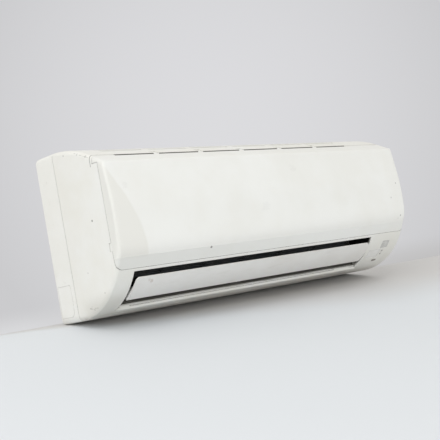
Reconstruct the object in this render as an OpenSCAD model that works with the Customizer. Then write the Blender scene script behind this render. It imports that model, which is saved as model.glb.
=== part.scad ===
// High-wall indoor unit of a split air conditioner.
// X runs along the unit, +Y points into the wall and +Z points up. All sizes are in millimetres.
// Heights are measured from the underside, and at_mount() then moves the origin to the wall plate.

/* [Body] */
// Length of the unit from end to end
body_w = 800; // [780:5:840]
// Height of the unit
body_h = 298; // [294:1:304]
// Depth from the wall to the boldest point of the front
body_d = 202; // [200:1:206]
// Wall thickness of the casing mouldings
wall = 2.4; // [2:0.1:2.8]
// Distance from the start of the lower front's curve back to the chassis's seam
seam_set = 4; // [3:0.5:6]
// Gap at the joint between two casing mouldings
split = 0.6; // [0.4:0.1:1]
// Distance from the boldest point of the front back to the upper end of the lower front's curve
curve_set = 21.7; // [20:0.1:23]
// Radius of the lower front
lower_r = 137; // [135:0.5:139]
// Angle through which the lower front turns up to the panel
lower_turn = 61.4; // [60.8:0.2:62]
// Radius that rounds the mouldings into their end faces
end_r = 7; // [6:0.5:9]

/* [Front panel] */
// Thickness of the hinged front panel
panel_t = 3; // [2.6:0.1:3.4]
// Depth of the panel on the end faces, measured back from the boldest point
panel_side = 22; // [18:1:24]
// Distance from the boldest point back to the panel's upper edge
panel_top = 36; // [34:0.5:37]
// Width of the air slit behind the panel's upper edge
slit = 5; // [4:0.5:6]
// Distance from an end of the outlet to the nearest hinge arm
arm_room = 109; // [101:1:117]
// Width of a hinge arm
arm_w = 11; // [9:1:14]
// Radius of the panel's hinge pins
panel_pin_r = 2; // [1.8:0.1:2.2]
// Radius of the panel's lower corners
panel_corner_r = 14; // [10:1:18]

/* [Air path] */
// Distance from the unit's left end to the air outlet
left_room = 40; // [38:1:46]
// Room at the right end for the fan's motor and the electrical box
right_room = 110; // [108:1:116]
// Radius of the cross-flow fan
fan_r = 46; // [44:0.5:47]
// Distance of the fan's axis from the boldest point of the front
fan_set = 109; // [108:0.5:110]
// Height of the fan's axis above the underside
fan_z = 106; // [105:0.5:107]
// Number of blades round the fan
blade_count = 30; // [24:2:34]
// Number of rings that tie the blades together
ring_count = 7; // [5:1:9]
// Upward slope of the duct's floor in degrees
duct_tilt = 42; // [41:0.5:43]
// Radius of the fan motor
motor_r = 40; // [36:1:41]
// Length of the fan motor
motor_l = 52; // [46:1:54]

/* [Louvres] */
// Angle by which the louvre stands open
flap_rest = 8; // [0:1:12]
// Thickness of the louvre
flap_t = 2.4; // [2:0.1:2.8]
// Distance from the outlet's left end to the first louvre hinge
hinge_room = 31; // [28:1:34]
// Distance from the last louvre hinge to the outlet's right end
drive_room = 79; // [76:1:82]
// Radius of the louvre's hinge pins
flap_pin_r = 1.8; // [1.6:0.1:2]
// Distance from a louvre hinge to the nearest vane
vane_room = 33; // [31:1:37]
// Height of the vanes above the duct's floor
vane_h = 21; // [18:0.5:22]
// Radius of the vanes' pivot pins
vane_pin_r = 1.6; // [1.4:0.1:1.8]

/* [Heat exchanger] */
// Thickness of the fin packs
fin_t = 25; // [24:0.5:25]
// Distance between two grooves in a fin pack
fin_pitch = 8; // [6:0.5:12]
// Radius of the copper tubes
tube_r = 3.5; // [3:0.1:3.6]
// Distance between two tubes in a row
tube_pitch = 20; // [19:0.5:20]
// Radius of the gas pipe
gas_r = 4.76; // [4.7:0.02:4.9]
// Radius of the liquid pipe
liquid_r = 3.18; // [3.1:0.02:3.3]

/* [Wall plate] */
// Height of the wall plate's middle above the underside
plate_z = 180; // [178:1:182]
// Distance from an end of the unit to the wall plate
plate_room = 130; // [125:1:140]
// Height of the wall plate
plate_h = 160; // [150:1:164]
// Sheet thickness of the wall plate
plate_t = 1.2; // [1:0.1:1.6]
// Distance between the wall screws along the unit
screw_dx = 450; // [430:10:470]
// Distance between the wall screws up the wall
screw_dz = 110; // [100:2:116]
// Radius of the holes for the wall screws
screw_hole_r = 2.75; // [2.5:0.05:3]

/* [Hidden] */

// Running clearance of a pin in its hole, and the clearance of parts that only sit together
run = 0.08;
seat = 0.3;
half_w = body_w / 2;
out_l = -half_w + left_room;
out_r = half_w - right_room;
plate_w = body_w - 2 * plate_room;
outlet_x = (out_l + out_r) / 2;
arm_pitch = (out_r - out_l - 2 * arm_room) / 4;
flat_d = body_d - curve_set - lower_r * sin(lower_turn);
seam_d = flat_d - seam_set;
fan_d = body_d - fan_set;
panel_edge_d = body_d - panel_side;
panel_top_d = body_d - panel_top;
// Degrees of turn for each flat of a large curve that polygons draw
arc_step = 5;
// Steps in the rounding of an end, and how strongly each side of the outline takes it
end_steps = 4;
end_share = [1.7, 1.4, 0.75, 0.75, 1.1, 1.1, 0.6];

function unit2(a, b) = let (d = [b[0] - a[0], b[1] - a[1]]) d / norm(d);
function right_of(d) = [d[1], -d[0]];

// Corners [y, z, radius] moved inwards: side i moves by d * share[i]
function inset(c, d, share) = [
  for (i = [0:len(c) - 1])
    let (
      j = (i + len(c) - 1) % len(c),
      k = (i + 1) % len(c),
      na = right_of(unit2(c[j], c[i])),
      nb = right_of(unit2(c[i], c[k])),
      da = d * share[j],
      db = d * share[i],
      g = na * nb,
      p = (da - g * db) / (1 - g * g),
      q = (db - g * da) / (1 - g * g)
    )
    [c[i][0] + p * na[0] + q * nb[0], c[i][1] + p * na[1] + q * nb[1], max(c[i][2] - (da + db) / 2, 0.8)]
];
even = [1, 1, 1, 1, 1, 1, 1];

// Outline with every corner rounded to its radius
function rounded(c) = [
  for (i = [0:len(c) - 1])
    let (
      j = (i + len(c) - 1) % len(c),
      k = (i + 1) % len(c),
      p = [c[i][0], c[i][1]],
      a = unit2(c[i], c[j]),
      b = unit2(c[i], c[k]),
      turn = 180 - acos(a * b),
      r = c[i][2],
      m = p + (a + b) / norm(a + b) * r / cos(turn / 2),
      s = p + a * r * tan(turn / 2) - m,
      steps = max(2, ceil(turn / (r > 30 ? arc_step : 3 * arc_step))),
      way = a[0] * b[1] - a[1] * b[0] > 0 ? -1 : 1
    )
    for (n = [0:steps])
      let (w = way * turn * n / steps)
      m + [s[0] * cos(w) - s[1] * sin(w), s[0] * sin(w) + s[1] * cos(w)]
];

// Points on the lower front's circle, at an angle from straight down
function on_arc(a, r = lower_r) = [-flat_d - r * sin(a), lower_r - r * cos(a)];
function arc_points(a, b, r) =
  let (n = ceil(abs(b - a) / arc_step)) [for (i = [0:n]) on_arc(a + (b - a) * i / n, r)];

module along_x(a, b) {
  translate([a, 0, 0]) rotate([90, 0, 90]) linear_extrude(b - a) children();
}
module along_y(a, b) {
  translate([0, b, 0]) rotate([90, 0, 0]) linear_extrude(b - a) children();
}
module rod_x(a, b, p, r) {
  translate([a, p[0], p[1]]) rotate([0, 90, 0]) cylinder(h = b - a, r = r, $fn = 48);
}
module block(a, b) {
  translate(a) cube(b - a);
}
module at_mount() {
  translate([0, 0, -plate_z]) children();
}
// Wedge of the lower front between two angles
module wedge(a, b, r0, r1, x0, x1) {
  along_x(x0, x1) polygon(concat(arc_points(a, b, r0), arc_points(b, a, r1)));
}
// Frame at a point of the lower front: x along the unit, y up the surface and z out of it
module on_surface(x, turn) {
  p = on_arc(turn);
  translate([x, p[0], p[1]]) rotate([180 - turn, 0, 0]) children();
}

// Side outline of the closed unit, clockwise from the lower back corner
face_set = 2.5;
brow_set = 8.5;
brow_drop = 45;
crown_d = body_d - 94;
parting = on_arc(lower_turn);
crease_z = parting[1] + (body_d - face_set + parting[0]) * tan(lower_turn);
brow_z = body_h - brow_drop;
bow_z = crease_z + (brow_z - crease_z) * 0.45;
body_corners = [
  [0, 0, 4],
  [-flat_d - lower_r * tan(lower_turn / 2), 0, lower_r],
  [-body_d + face_set, crease_z, 66],
  [-body_d - 0.4, bow_z, 300],
  [-body_d + brow_set, brow_z, 5],
  [-crown_d, body_h, 240],
  [0, body_h, 9]
];
slope = brow_drop / (body_d - brow_set - crown_d);
panel_top_z = brow_z + (body_d - brow_set - panel_top_d) * slope;

// The closed unit's solid, inset by d on every side and rounded into its ends
module body(d = 0) {
  core = inset(body_corners, d, even);
  re = max(end_r - d, 1);
  turns = concat([for (k = [end_steps:-1:0]) -90 * k / end_steps], [for (k = [0:end_steps]) 90 * k / end_steps]);
  rings = [
    for (i = [0:len(turns) - 1])
      let (
        x = half_w - d - re * (1 - sin(abs(turns[i]))),
        c = rounded(inset(core, re * (1 - cos(turns[i])), end_share))
      )
      [for (q = c) [i > end_steps ? x : -x, q[0], q[1]]]
  ];
  n = len(rings[0]);
  last = (len(rings) - 1) * n;
  sides = [
    for (i = [0:len(rings) - 2], j = [0:n - 1])
      let (a = i * n + j, b = i * n + (j + 1) % n)
      for (t = [[a, b, b + n], [a, b + n, a + n]]) t
  ];
  polyhedron(
    points = [for (r = rings) for (q = r) q],
    faces = concat([[for (j = [n - 1:-1:0]) j]], sides, [[for (j = [0:n - 1]) last + j]])
  );
}

// Space that the front panel takes, grown by g
module panel_zone(g) {
  t = [-cos(lower_turn), sin(lower_turn)];
  n = [sin(lower_turn), cos(lower_turn)];
  low = parting - t * g;
  edge = -panel_edge_d + g;
  top = -panel_top_d + g;
  far = -body_d - 30;
  intersection() {
    along_x(-body_w, body_w)
      polygon([
        low - n * 25, [edge, low[1] + (edge - low[0]) * n[1] / n[0]], [edge, brow_z + 2 - g],
        [top, brow_z + 2 - g], [top, body_h + 20], [far, body_h + 20], [far, 0]
      ]);
    along_y(-body_d - 20, 0)
      polygon(rounded([
        [-half_w - g, parting[1] - g, panel_corner_r],
        [-half_w - g, body_h + 40, 1],
        [half_w + g, body_h + 40, 1],
        [half_w + g, parting[1] - g, panel_corner_r]
      ]));
  }
}

panel_gap = 0.6;
recess = panel_t + panel_gap;
pivot = [-panel_top_d + 13.5, panel_top_z];
arm_x = [for (k = [-2:2]) outlet_x + arm_pitch * k];
post_w = 8;

module front_panel() {
  color("whitesmoke") {
    difference() {
      intersection() {
        body();
        panel_zone(0);
      }
      body(panel_t);
    }
    for (x = arm_x) {
      along_x(x - arm_w / 2, x + arm_w / 2)
        polygon([
          [-panel_top_d - 5, panel_top_z - 5], [-panel_top_d - 1, panel_top_z - 1.6],
          [pivot[0], pivot[1] + 3.2], [pivot[0], pivot[1] - 3.2], [-panel_top_d + 1, panel_top_z - 6]
        ]);
      rod_x(x - arm_w / 2, x + arm_w / 2, pivot, 3.2);
      rod_x(x - arm_w / 2 - 4, x + arm_w / 2 + 4, pivot, panel_pin_r);
    }
    // Stiffening ribs across the back of the panel
    for (z = [open_low + 18, open_top - 44], s = [-1, 1]) {
      a = s < 0 ? out_l + 12 : outlet_x + post_w;
      b = s < 0 ? outlet_x - post_w : out_r - 12;
      block([a, -body_d + panel_t + 1.5, z], [b, -body_d + panel_t + 5.5, z + 2]);
    }
  }
}

pan_front = -body_d + 23.5;
pan_z = 87;
lip_turn = 24;
outlet_turn = lower_turn - 2.5;
open_low = 104;
open_top = brow_z - 9;
rib_edge = -panel_top_d + slit + 0.5;
grille_front = body_d - 68;
grille_rows = 5;
slot_w = 8;

window_x = [out_r + 12, out_r + 52];
window_turn = [35.2, 44.4];
receiver_x = [out_r + 47.5, out_r + 71.5];
receiver_turn = [45.6, 53.2];
lamp_x = out_r + 60;
lamp_turn = [42.2, 38.4];
lamp_r = 1.8;
button_x = out_r + 54;
button_turn = 30.2;
button_size = [14, 5.5];
screw_x = [out_l - 8, out_r + 8];
screw_z = pan_z + 8;

module oval(size, grow = 0) {
  r = size[1] / 2 + grow;
  for (s = [-1, 1]) {
    translate([s * (size[0] - size[1]) / 2, 0]) circle(r = r, $fn = 32);
  }
  square([size[0] - size[1], 2 * r], center = true);
}

// Slots of the top grille, one bay on each side of every hinge arm
module top_grille() {
  pitch = (grille_front - seam_d - 8) / grille_rows;
  ends = concat([outlet_x - 3 * arm_pitch], arm_x, [outlet_x + 3 * arm_pitch]);
  for (i = [0:len(ends) - 2], r = [0:grille_rows - 1]) {
    a = ends[i] + 7;
    b = ends[i + 1] - 7;
    translate([a, -grille_front + r * pitch]) square([b - a, slot_w]);
  }
}

module front_casing() {
  color("white") {
    difference() {
      union() {
        difference() {
          body();
          panel_zone(panel_gap);
        }
        body(recess);
      }
      difference() {
        body(wall);
        panel_zone(panel_gap + wall);
      }
      body(recess + wall);
      block([-body_w, -seam_d - split / 2, -5], [body_w, 5, body_h + 5]);
      // Opening for the filters
      block([out_l + 4, -body_d - 5, open_low], [out_r - 4, -body_d + 62, open_top]);
      // Air outlet
      wedge(lip_turn, outlet_turn, lower_r - 20, lower_r + 15, out_l, out_r);
      // Air slit behind the panel, and the grille on top
      block([out_l + 12, -panel_top_d, panel_top_z - 12], [out_r - 12, rib_edge, panel_top_z + 12]);
      translate([0, 0, body_h - 40]) linear_extrude(60) top_grille();
      // Notches for the panel's hinge arms
      for (x = arm_x) {
        block([x - arm_w / 2 - 1, rib_edge - 14, pivot[1] - 7], [x + arm_w / 2 + 1, pivot[0] + 6, body_h]);
      }
      // Places of the window, receiver, lamps, button and screws
      wedge(window_turn[0], window_turn[1], lower_r - 10, lower_r + 5, window_x[0], window_x[1]);
      wedge(receiver_turn[0], receiver_turn[1], lower_r - 10, lower_r + 5, receiver_x[0], receiver_x[1]);
      for (a = lamp_turn) {
        on_surface(lamp_x, a) translate([0, 0, -8]) cylinder(h = 12, r = lamp_r + 0.1, $fn = 32);
      }
      on_surface(button_x, button_turn) translate([0, 0, -8]) linear_extrude(12) oval(button_size, seat);
      for (x = screw_x) {
        translate([x, -body_d, screw_z]) rotate([-90, 0, 0]) cylinder(h = 24, r = 4.4, $fn = 32);
      }
      // Finger recesses beside the panel's ends
      for (s = [-1, 1]) {
        translate([s * half_w, -panel_edge_d + 3, open_low + 7]) cube([2.8, 7, 14], center = true);
      }
    }
    // Ears that carry the panel's hinge pins
    for (x = arm_x, s = [-1, 1]) {
      xe = x + s * (arm_w / 2 + 3) - 1.5;
      difference() {
        along_x(xe, xe + 3)
          polygon([
            [pivot[0] - 4.5, pivot[1] - 4.5], [pivot[0] + 7, pivot[1] - 4.5],
            [pivot[0] + 7, pivot[1] + 9.2], [pivot[0] - 4.5, pivot[1] + 4.4]
          ]);
        rod_x(xe - 1, xe + 4, pivot, panel_pin_r + run);
      }
    }
    // Shelf under the filters and post between them
    block([out_l + 2, -body_d + 10.2, open_low - wall], [out_r - 2, -panel_edge_d - 2.5, open_low]);
    along_x(outlet_x - post_w / 2, outlet_x + post_w / 2)
      polygon([
        [-body_d + 18, open_low - 1], [-body_d + 11, open_low - 1], [-body_d + 7, open_low + 20],
        [-body_d + 5.5, bow_z], [-body_d + 9, open_top - 20], [-body_d + 12, open_top + 1],
        [-body_d + 18, open_top + 1]
      ]);
    // Sunk seats of the casing's screws
    for (x = screw_x) {
      translate([x, 0, screw_z]) rotate([90, 0, 0])
        difference() {
          translate([0, 0, -pan_front + 0.3]) cylinder(h = 6.8, r = 6, $fn = 32);
          translate([0, 0, -pan_front - 1]) cylinder(h = 12, r = 2.1, $fn = 32);
          translate([0, 0, -pan_front + 2.7]) cylinder(h = 12, r = 4.4, $fn = 32);
        }
    }
  }
}

module display_window() {
  color("gainsboro")
    wedge(window_turn[0] + 0.1, window_turn[1] - 0.1, lower_r - 2, lower_r, window_x[0] + 0.3, window_x[1] - 0.3);
}
module receiver_window() {
  color("darkgray")
    wedge(receiver_turn[0] + 0.1, receiver_turn[1] - 0.1, lower_r - 2, lower_r,
      receiver_x[0] + 0.3, receiver_x[1] - 0.3);
}
module lamp_lenses() {
  color("slategray")
    for (a = lamp_turn) {
      on_surface(lamp_x, a) translate([0, 0, -5]) {
        cylinder(h = 5, r = lamp_r, $fn = 32);
        cylinder(h = 1.5, r = lamp_r + 1, $fn = 32);
      }
    }
}
module test_button() {
  color("dimgray")
    on_surface(button_x, button_turn) {
      translate([0, 0, -6]) linear_extrude(6.4) oval(button_size, 0);
      translate([0, 0, -8]) cylinder(h = 3, r = 2, $fn = 32);
    }
}
// Circuit board behind the window, with the lamps' holder and the switch under the button
board_back = 13.6;
module display_board() {
  color("darkgreen") {
    on_surface(out_r + 50, 39) {
      translate([-24, -28, -board_back]) cube([48, 50, 1.6]);
      translate([-20, -6, -board_back + 1.5]) cube([24, 14, 3]);
      translate([4, -8, -board_back + 1.5]) cube([12, 24, 5]);
      translate([-2, -24, -board_back + 1.5]) cube([12, 9, 1.4]);
      // Pillars up to the casing
      translate([21.5, -12, -board_back + 1]) cylinder(h = board_back - 4.3, r = 2, $fn = 32);
      translate([-21.5, -20, -board_back + 1]) cylinder(h = board_back - 5.3, r = 2, $fn = 32);
    }
  }
}

// Duct floor: its frame has y up the floor and z away from it
floor_top = on_arc(lip_turn, lower_r - wall - 3.5);
floor_l = 48;
function floor_at(s, h) = [
  floor_top[0] + s * cos(duct_tilt) - h * sin(duct_tilt),
  floor_top[1] + s * sin(duct_tilt) + h * cos(duct_tilt)
];
module on_floor(x, s = 0, h = 0) {
  p = floor_at(s, h);
  translate([x, p[0], p[1]]) rotate([duct_tilt, 0, 0]) children();
}
fan_axis = [-fan_d, fan_z];
flap_axis = floor_at(10.3, 21.5);
bearing_r = 11;
rubber_r = 16;
cheek_t = 2.4;
knuckle_pitch = (out_r - out_l - hinge_room - drive_room) / 2;
knuckle_x = [for (k = [0:2]) out_l + hinge_room + k * knuckle_pitch];

module plate_pocket(grow) {
  block([-plate_w / 2 - 4 - grow, -12 - grow, plate_z - plate_h / 2 - 4 - grow],
    [plate_w / 2 + 4 + grow, grow > 0 ? -wall / 2 : 1, plate_z + plate_h / 2 + 4 + grow]);
}
hook_x = [-200, 0, 200];

// Guide that wraps round the back of the fan
scroll_gap = 7;
function fan_point(a, r) = [-fan_d + r * cos(a), fan_z + r * sin(a)];
scroll_in = concat(
  [for (a = [50:-10:-50]) fan_point(a, fan_r + scroll_gap + (50 - a) * 0.05)],
  [floor_at(floor_l, 0), floor_at(0, 0)]
);
scroll_out = concat(
  [floor_at(0, -wall), floor_at(floor_l, -wall)],
  [for (a = [-50:10:50]) fan_point(a, fan_r + scroll_gap + wall + (50 - a) * 0.05)]
);
trough_z = fan_point(50, fan_r + scroll_gap)[1];
channel_end = 26;
channel_z = [9, plate_z - plate_h / 2 - 14];

// Lower edge of the cross ribs: just above the casing's floor, then down onto the chassis's own
foot_gap = 0.8;
rib_foot = [
  on_arc(8.5, lower_r - wall - foot_gap), on_arc(0, lower_r - wall - foot_gap),
  [-seam_d + 1, wall + foot_gap], [-seam_d + 1, 1.4]
];
rib_back = seam_d - 12;

module chassis_cheek(x) {
  along_x(x, x + cheek_t)
    polygon(concat([
      [-1, 1.4], [-1, 88], [-16, 88], [-16, trough_z + 14], [-fan_d + 59, trough_z + 14], [-fan_d - 7, trough_z + 8],
      [floor_top[0] - 1, trough_z + 3], floor_top, floor_at(0, -wall)
    ], rib_foot));
}

module rear_chassis() {
  color("antiquewhite") {
    difference() {
      union() {
        difference() {
          body();
          body(wall);
          block([-body_w, -body_d - 5, -5], [body_w, -seam_d + split / 2, body_h + 5]);
        }
        plate_pocket(wall);
        along_x(out_l - cheek_t, out_r + cheek_t) polygon(concat(scroll_in, scroll_out));
        // Trough under the rear fin pack, and the web that ties it to the back
        along_x(out_l - cheek_t, out_r + cheek_t)
          polygon([
            [-fan_d + 31, trough_z + 9], [-fan_d + 33, trough_z + 9], fan_point(50, fan_r + scroll_gap + wall),
            [-fan_d + 53, trough_z - 3], [-16, trough_z + 14], [-13, trough_z + 14], [-13, trough_z + 9],
            [-fan_d + 55, trough_z - 6], fan_point(50, fan_r + scroll_gap)
          ]);
        chassis_cheek(out_l - cheek_t);
        chassis_cheek(out_r);
        // Ribs that carry the guide on the floor
        for (x = [out_l + 130, outlet_x, out_r - 130]) {
          along_x(x - 1.2, x + 1.2)
            polygon(concat([
              [-rib_back, 1.4], [-rib_back, 60], fan_point(-50, fan_r + scroll_gap + 6), floor_at(floor_l, -1),
              floor_at(1, -1)
            ], rib_foot));
        }
        // Cradle under the fan motor
        for (x = [out_r + 20, out_r + 46]) {
          along_x(x, x + 3)
            polygon(concat([
              [-rib_back - 2, 1.4], [-rib_back - 2, fan_z], [-fan_d - 45, fan_z], [-fan_d - 45, fan_z - 28],
              [-fan_d - 7, 40], [-fan_d - 3, 12]
            ], rib_foot));
        }
        // Posts for the louvre's hinges
        for (x = knuckle_x, s = [-1, 1]) {
          on_floor(x + s * 4.6 - 1.2, 10.3, -1) {
            translate([0, -4.5, 0]) cube([2.4, 9, 22.5]);
            translate([0, 0, 22.5]) rotate([0, 90, 0]) cylinder(h = 2.4, r = 4.5, $fn = 48);
          }
        }
        // Shelf under the control box
        block([box_x[0] - 2, -seam_d + split, box_z[0] - seat - 3.7], [half_w - 1, -1.4, box_z[0] - seat]);
      }
      plate_pocket(0);
      // Channel across the back for the pipes and the hose
      block([-half_w + channel_end, -6, channel_z[0]], [half_w - channel_end, 5, channel_z[1]]);
      // Seats of the fan's bearing, the motor's shaft and the motor
      rod_x(out_l - 4, out_l + 1, fan_axis, rubber_r - 1.5);
      rod_x(out_r - 1, out_r + 4, fan_axis, 7);
      rod_x(out_r + cheek_t + 1, out_r + 70, fan_axis, motor_r + seat);
      for (x = knuckle_x) {
        rod_x(x - 8, x + 8, flap_axis, flap_pin_r + run);
      }
      for (s = [-1, 1]) {
        end_opening(s, 0);
      }
      // Slots for the vane rails' tongues and the way for the pipes behind the motor
      block([out_l - 20, -40, 8], [out_l + 20, -6, 66]);
      block([out_r - 5, -rib_back + 2, 12], [out_r + 5, -3, 86]);
    }
    // Bars in the pocket that hang on the wall plate's hooks
    for (x = hook_x) {
      block([x - 13, -7.1, plate_z + plate_h / 2 - 14.5], [x + 13, -2.2, plate_z + plate_h / 2 + 5]);
    }
  }
}

// Opening for the pipes in an end of the chassis, shrunk by g
cover_y = seam_d - 11;
cover_z = [10, 66];
module end_opening(s, g) {
  x = s > 0 ? half_w - wall - 1 : -half_w - 1;
  along_x(x, x + wall + 2)
    polygon(rounded([
      [-cover_y + g, cover_z[0] + g, 10], [-cover_y + g, cover_z[1] - g, 3],
      [-6 - g, cover_z[1] - g, 1.5], [-6 - g, cover_z[0] + g, 1.5]
    ]));
}
module pipe_cover(s) {
  color("antiquewhite") {
    intersection() {
      end_opening(s, seat);
      block([s > 0 ? half_w - wall : -half_w, -60, 0], [s > 0 ? half_w : -half_w + wall, 0, 80]);
    }
    block([s > 0 ? half_w - wall - 2.6 : -half_w + wall + seat, -cover_y - 3, cover_z[0] + 8],
      [s > 0 ? half_w - wall - seat : -half_w + wall + 2.6, -5, cover_z[1] - 8]);
    block([s > 0 ? half_w - wall - 1.5 : -half_w + wall / 2, -cover_y + 4, cover_z[0] + 12],
      [s > 0 ? half_w - wall / 2 : -half_w + wall + 1.5, -9, cover_z[1] - 12]);
  }
}

module mounting_plate() {
  color("silver") {
    difference() {
      block([-plate_w / 2, -plate_t, plate_z - plate_h / 2], [plate_w / 2, 0, plate_z + plate_h / 2]);
      for (x = [-screw_dx / 2, screw_dx / 2], z = [-screw_dz / 2, screw_dz / 2]) {
        translate([x, -5, plate_z + z]) rotate([-90, 0, 0]) cylinder(h = 10, r = screw_hole_r, $fn = 48);
      }
      for (x = [-120, 120]) {
        block([x - 50, -5, plate_z - 30], [x + 50, 5, plate_z + 30]);
      }
    }
    for (x = hook_x) {
      z = plate_z + plate_h / 2;
      block([x - 10, -8.6, z - 16], [x + 10, -plate_t / 2, z - 16 + plate_t]);
      block([x - 10, -8.6, z - 16], [x + 10, -8.6 + plate_t, z - 5]);
    }
    // Stiffening beads
    for (z = [-plate_h / 2 + 8, plate_h / 2 - 44]) {
      block([-plate_w / 2 + 12, -plate_t - 2, plate_z + z], [plate_w / 2 - 12, -plate_t / 2, plate_z + z + 4]);
    }
  }
}

// Filters: closed outline of the path, then a strip of it
filter_low = open_low + seat;
filter_corners = [
  [-body_d + 11, filter_low, 0.4], [-body_d + 11, body_h - 62, 22], [-body_d + 36, body_h - 52, 30],
  [-fan_d + 27, body_h - 22, 0.4], [-fan_d + 27, filter_low, 0.4]
];
filter_in = [1, 1, 1, 0, 0];
filter_t = 2.2;
module filter_strip(a, b, d0, d1) {
  along_x(a, b)
    difference() {
      polygon(rounded(inset(filter_corners, d0, filter_in)));
      polygon(rounded(inset(filter_corners, d1, filter_in)));
      translate([-fan_d + 23, filter_low - 14.3]) square([20, body_h - 133]);
    }
}
filter_x = [[out_l + 14, outlet_x - 6], [outlet_x + 6, out_r - 14]];
bars_z = [for (k = [0:3]) open_low + k * (body_h - 62 - open_low) / 3];
module filter_frame(k) {
  a = filter_x[k][0];
  b = filter_x[k][1];
  pitch = (b - a) / 4;
  color("lightsteelblue")
    difference() {
      filter_strip(a, b, 0, filter_t);
      for (i = [0:3]) {
        xa = a + i * pitch + (i == 0 ? 6 : 2);
        xb = a + (i + 1) * pitch - (i == 3 ? 6 : 2);
        for (j = [0:2]) {
          block([xa, -body_d + 2, bars_z[j] + (j == 0 ? 8 : 3)], [xb, -body_d + 22, bars_z[j + 1] - 3]);
        }
        for (k = [[46, 28], [78, 28], [108, 20]]) {
          block([xa, -body_d + k[0], body_h - 60], [xb, -body_d + k[0] + k[1], body_h]);
        }
      }
    }
}
module filter_net(k) {
  color("slategray") filter_strip(filter_x[k][0] + 3, filter_x[k][1] - 3, filter_t, filter_t + 0.4);
}

// Heat exchanger: each fin pack has a middle point, a lean from upright and a length
ev_l = out_l + 10;
ev_r = out_r - 26;
front_foot = [-body_d + 36, 110];
front_head = [-body_d + 36, body_h - 104];
middle_foot = [-body_d + 44.9, body_h - 92.7];
middle_head = [-body_d + 90.1, body_h - 53.3];
rear_foot = [-fan_d + 43, trough_z + 36.9];
rear_head = [-fan_d - 1, body_h - 57.5];
function pack(a, b) = [(a[0] + b[0]) / 2, (a[1] + b[1]) / 2, atan2(b[0] - a[0], b[1] - a[1]), norm(b - a)];
packs = [pack(front_foot, front_head), pack(middle_foot, middle_head), pack(rear_foot, rear_head)];
module on_pack(i) {
  translate([0, packs[i][0], packs[i][1]]) rotate([-packs[i][2], 0, 0]) children();
}
// Tube places [along the pack, across it]
function tube_spots(i) =
  let (n = floor((packs[i][3] - 4) / tube_pitch))
  [for (k = [0:n - 1], s = [-1, 1]) [(k - (n - 1) / 2) * tube_pitch + s * 2.5, s * 6]];
function row_spots(i, s) =
  let (n = floor((packs[i][3] - 4) / tube_pitch))
  [for (k = [0:n - 1]) [(k - (n - 1) / 2) * tube_pitch + s * 2.5, s * 6]];

module tube_holes(i, a, b, r) {
  for (p = tube_spots(i)) {
    translate([a, p[1], p[0]]) rotate([0, 90, 0]) cylinder(h = b - a, r = r, $fn = 32);
  }
}
module fin_pack(i) {
  n = floor((ev_r - ev_l) / fin_pitch);
  p = (ev_r - ev_l) / n;
  h = fin_t / 2;
  g = 1.6;
  comb = concat(
    [for (k = [0:n - 1], q = [[0, -h], [p / 2, -h], [p / 2, g - h], [p, g - h]]) [ev_l + k * p + q[0], q[1]]],
    [for (k = [n - 1:-1:0], q = [[p, h], [p / 2, h], [p / 2, h - g], [0, h - g]]) [ev_l + k * p + q[0], q[1]]]
  );
  color("lightgray")
    on_pack(i)
      difference() {
        translate([0, 0, -packs[i][3] / 2]) linear_extrude(packs[i][3]) polygon(comb);
        tube_holes(i, ev_l - 1, ev_r + 1, tube_r);
      }
}
module evaporator_tubes() {
  color("chocolate")
    for (i = [0:2]) {
      on_pack(i) tube_holes(i, ev_l - 5, ev_r + 5, tube_r);
    }
}
module tube_plate(x) {
  color("silver")
    difference() {
      union() {
        for (i = [0:2]) {
          on_pack(i)
            block([x, -fin_t / 2, -packs[i][3] / 2 - (i == 0 ? 3.7 : 1)], [x + 1.2, fin_t / 2, packs[i][3] / 2 + 4]);
        }
        along_x(x, x + 1.2) {
          polygon([for (p = [[-12, -2], [12, -2], [26, 12], [16, 28], [0, 20]]) front_head + p]);
          polygon([for (p = [[-28, -4.5], [-8, -14.5], [10, -8.5], [4, 11.5], [-18, 11.5]]) rear_head + p]);
          polygon([
            [rear_foot[0] - 12, trough_z + 9.3], [rear_foot[0] - 6, trough_z + 9.3], rear_foot + [8, -13.5],
            rear_foot + [8, 0.5], rear_foot + [-12, 0.5]
          ]);
        }
      }
      for (i = [0:2]) {
        on_pack(i) tube_holes(i, x - 1, x + 3, tube_r + 0.05);
      }
    }
}
// Return bends at one end: each joins two tubes of a row or the two rows
module return_bends(x, s) {
  color("chocolate")
    for (i = [0:2]) {
      on_pack(i)
        for (side = [-1, 1]) {
          row = row_spots(i, side);
          n = len(row);
          // The rear pack's lowest tube stays free on the right, where the pipes leave
          first = (i == 2) == (s > 0) ? 1 : 0;
          for (k = [first:2:n - 2]) {
            m = (row[k][0] + row[k + 1][0]) / 2;
            translate([x, row[k][1], m])
              rotate([90, 0, 0])
                rotate([0, 0, s > 0 ? -90 : 90])
                  rotate_extrude(angle = 180, $fn = 48) translate([tube_pitch / 2, 0]) circle(r = tube_r, $fn = 24);
          }
        }
    }
}

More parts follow.
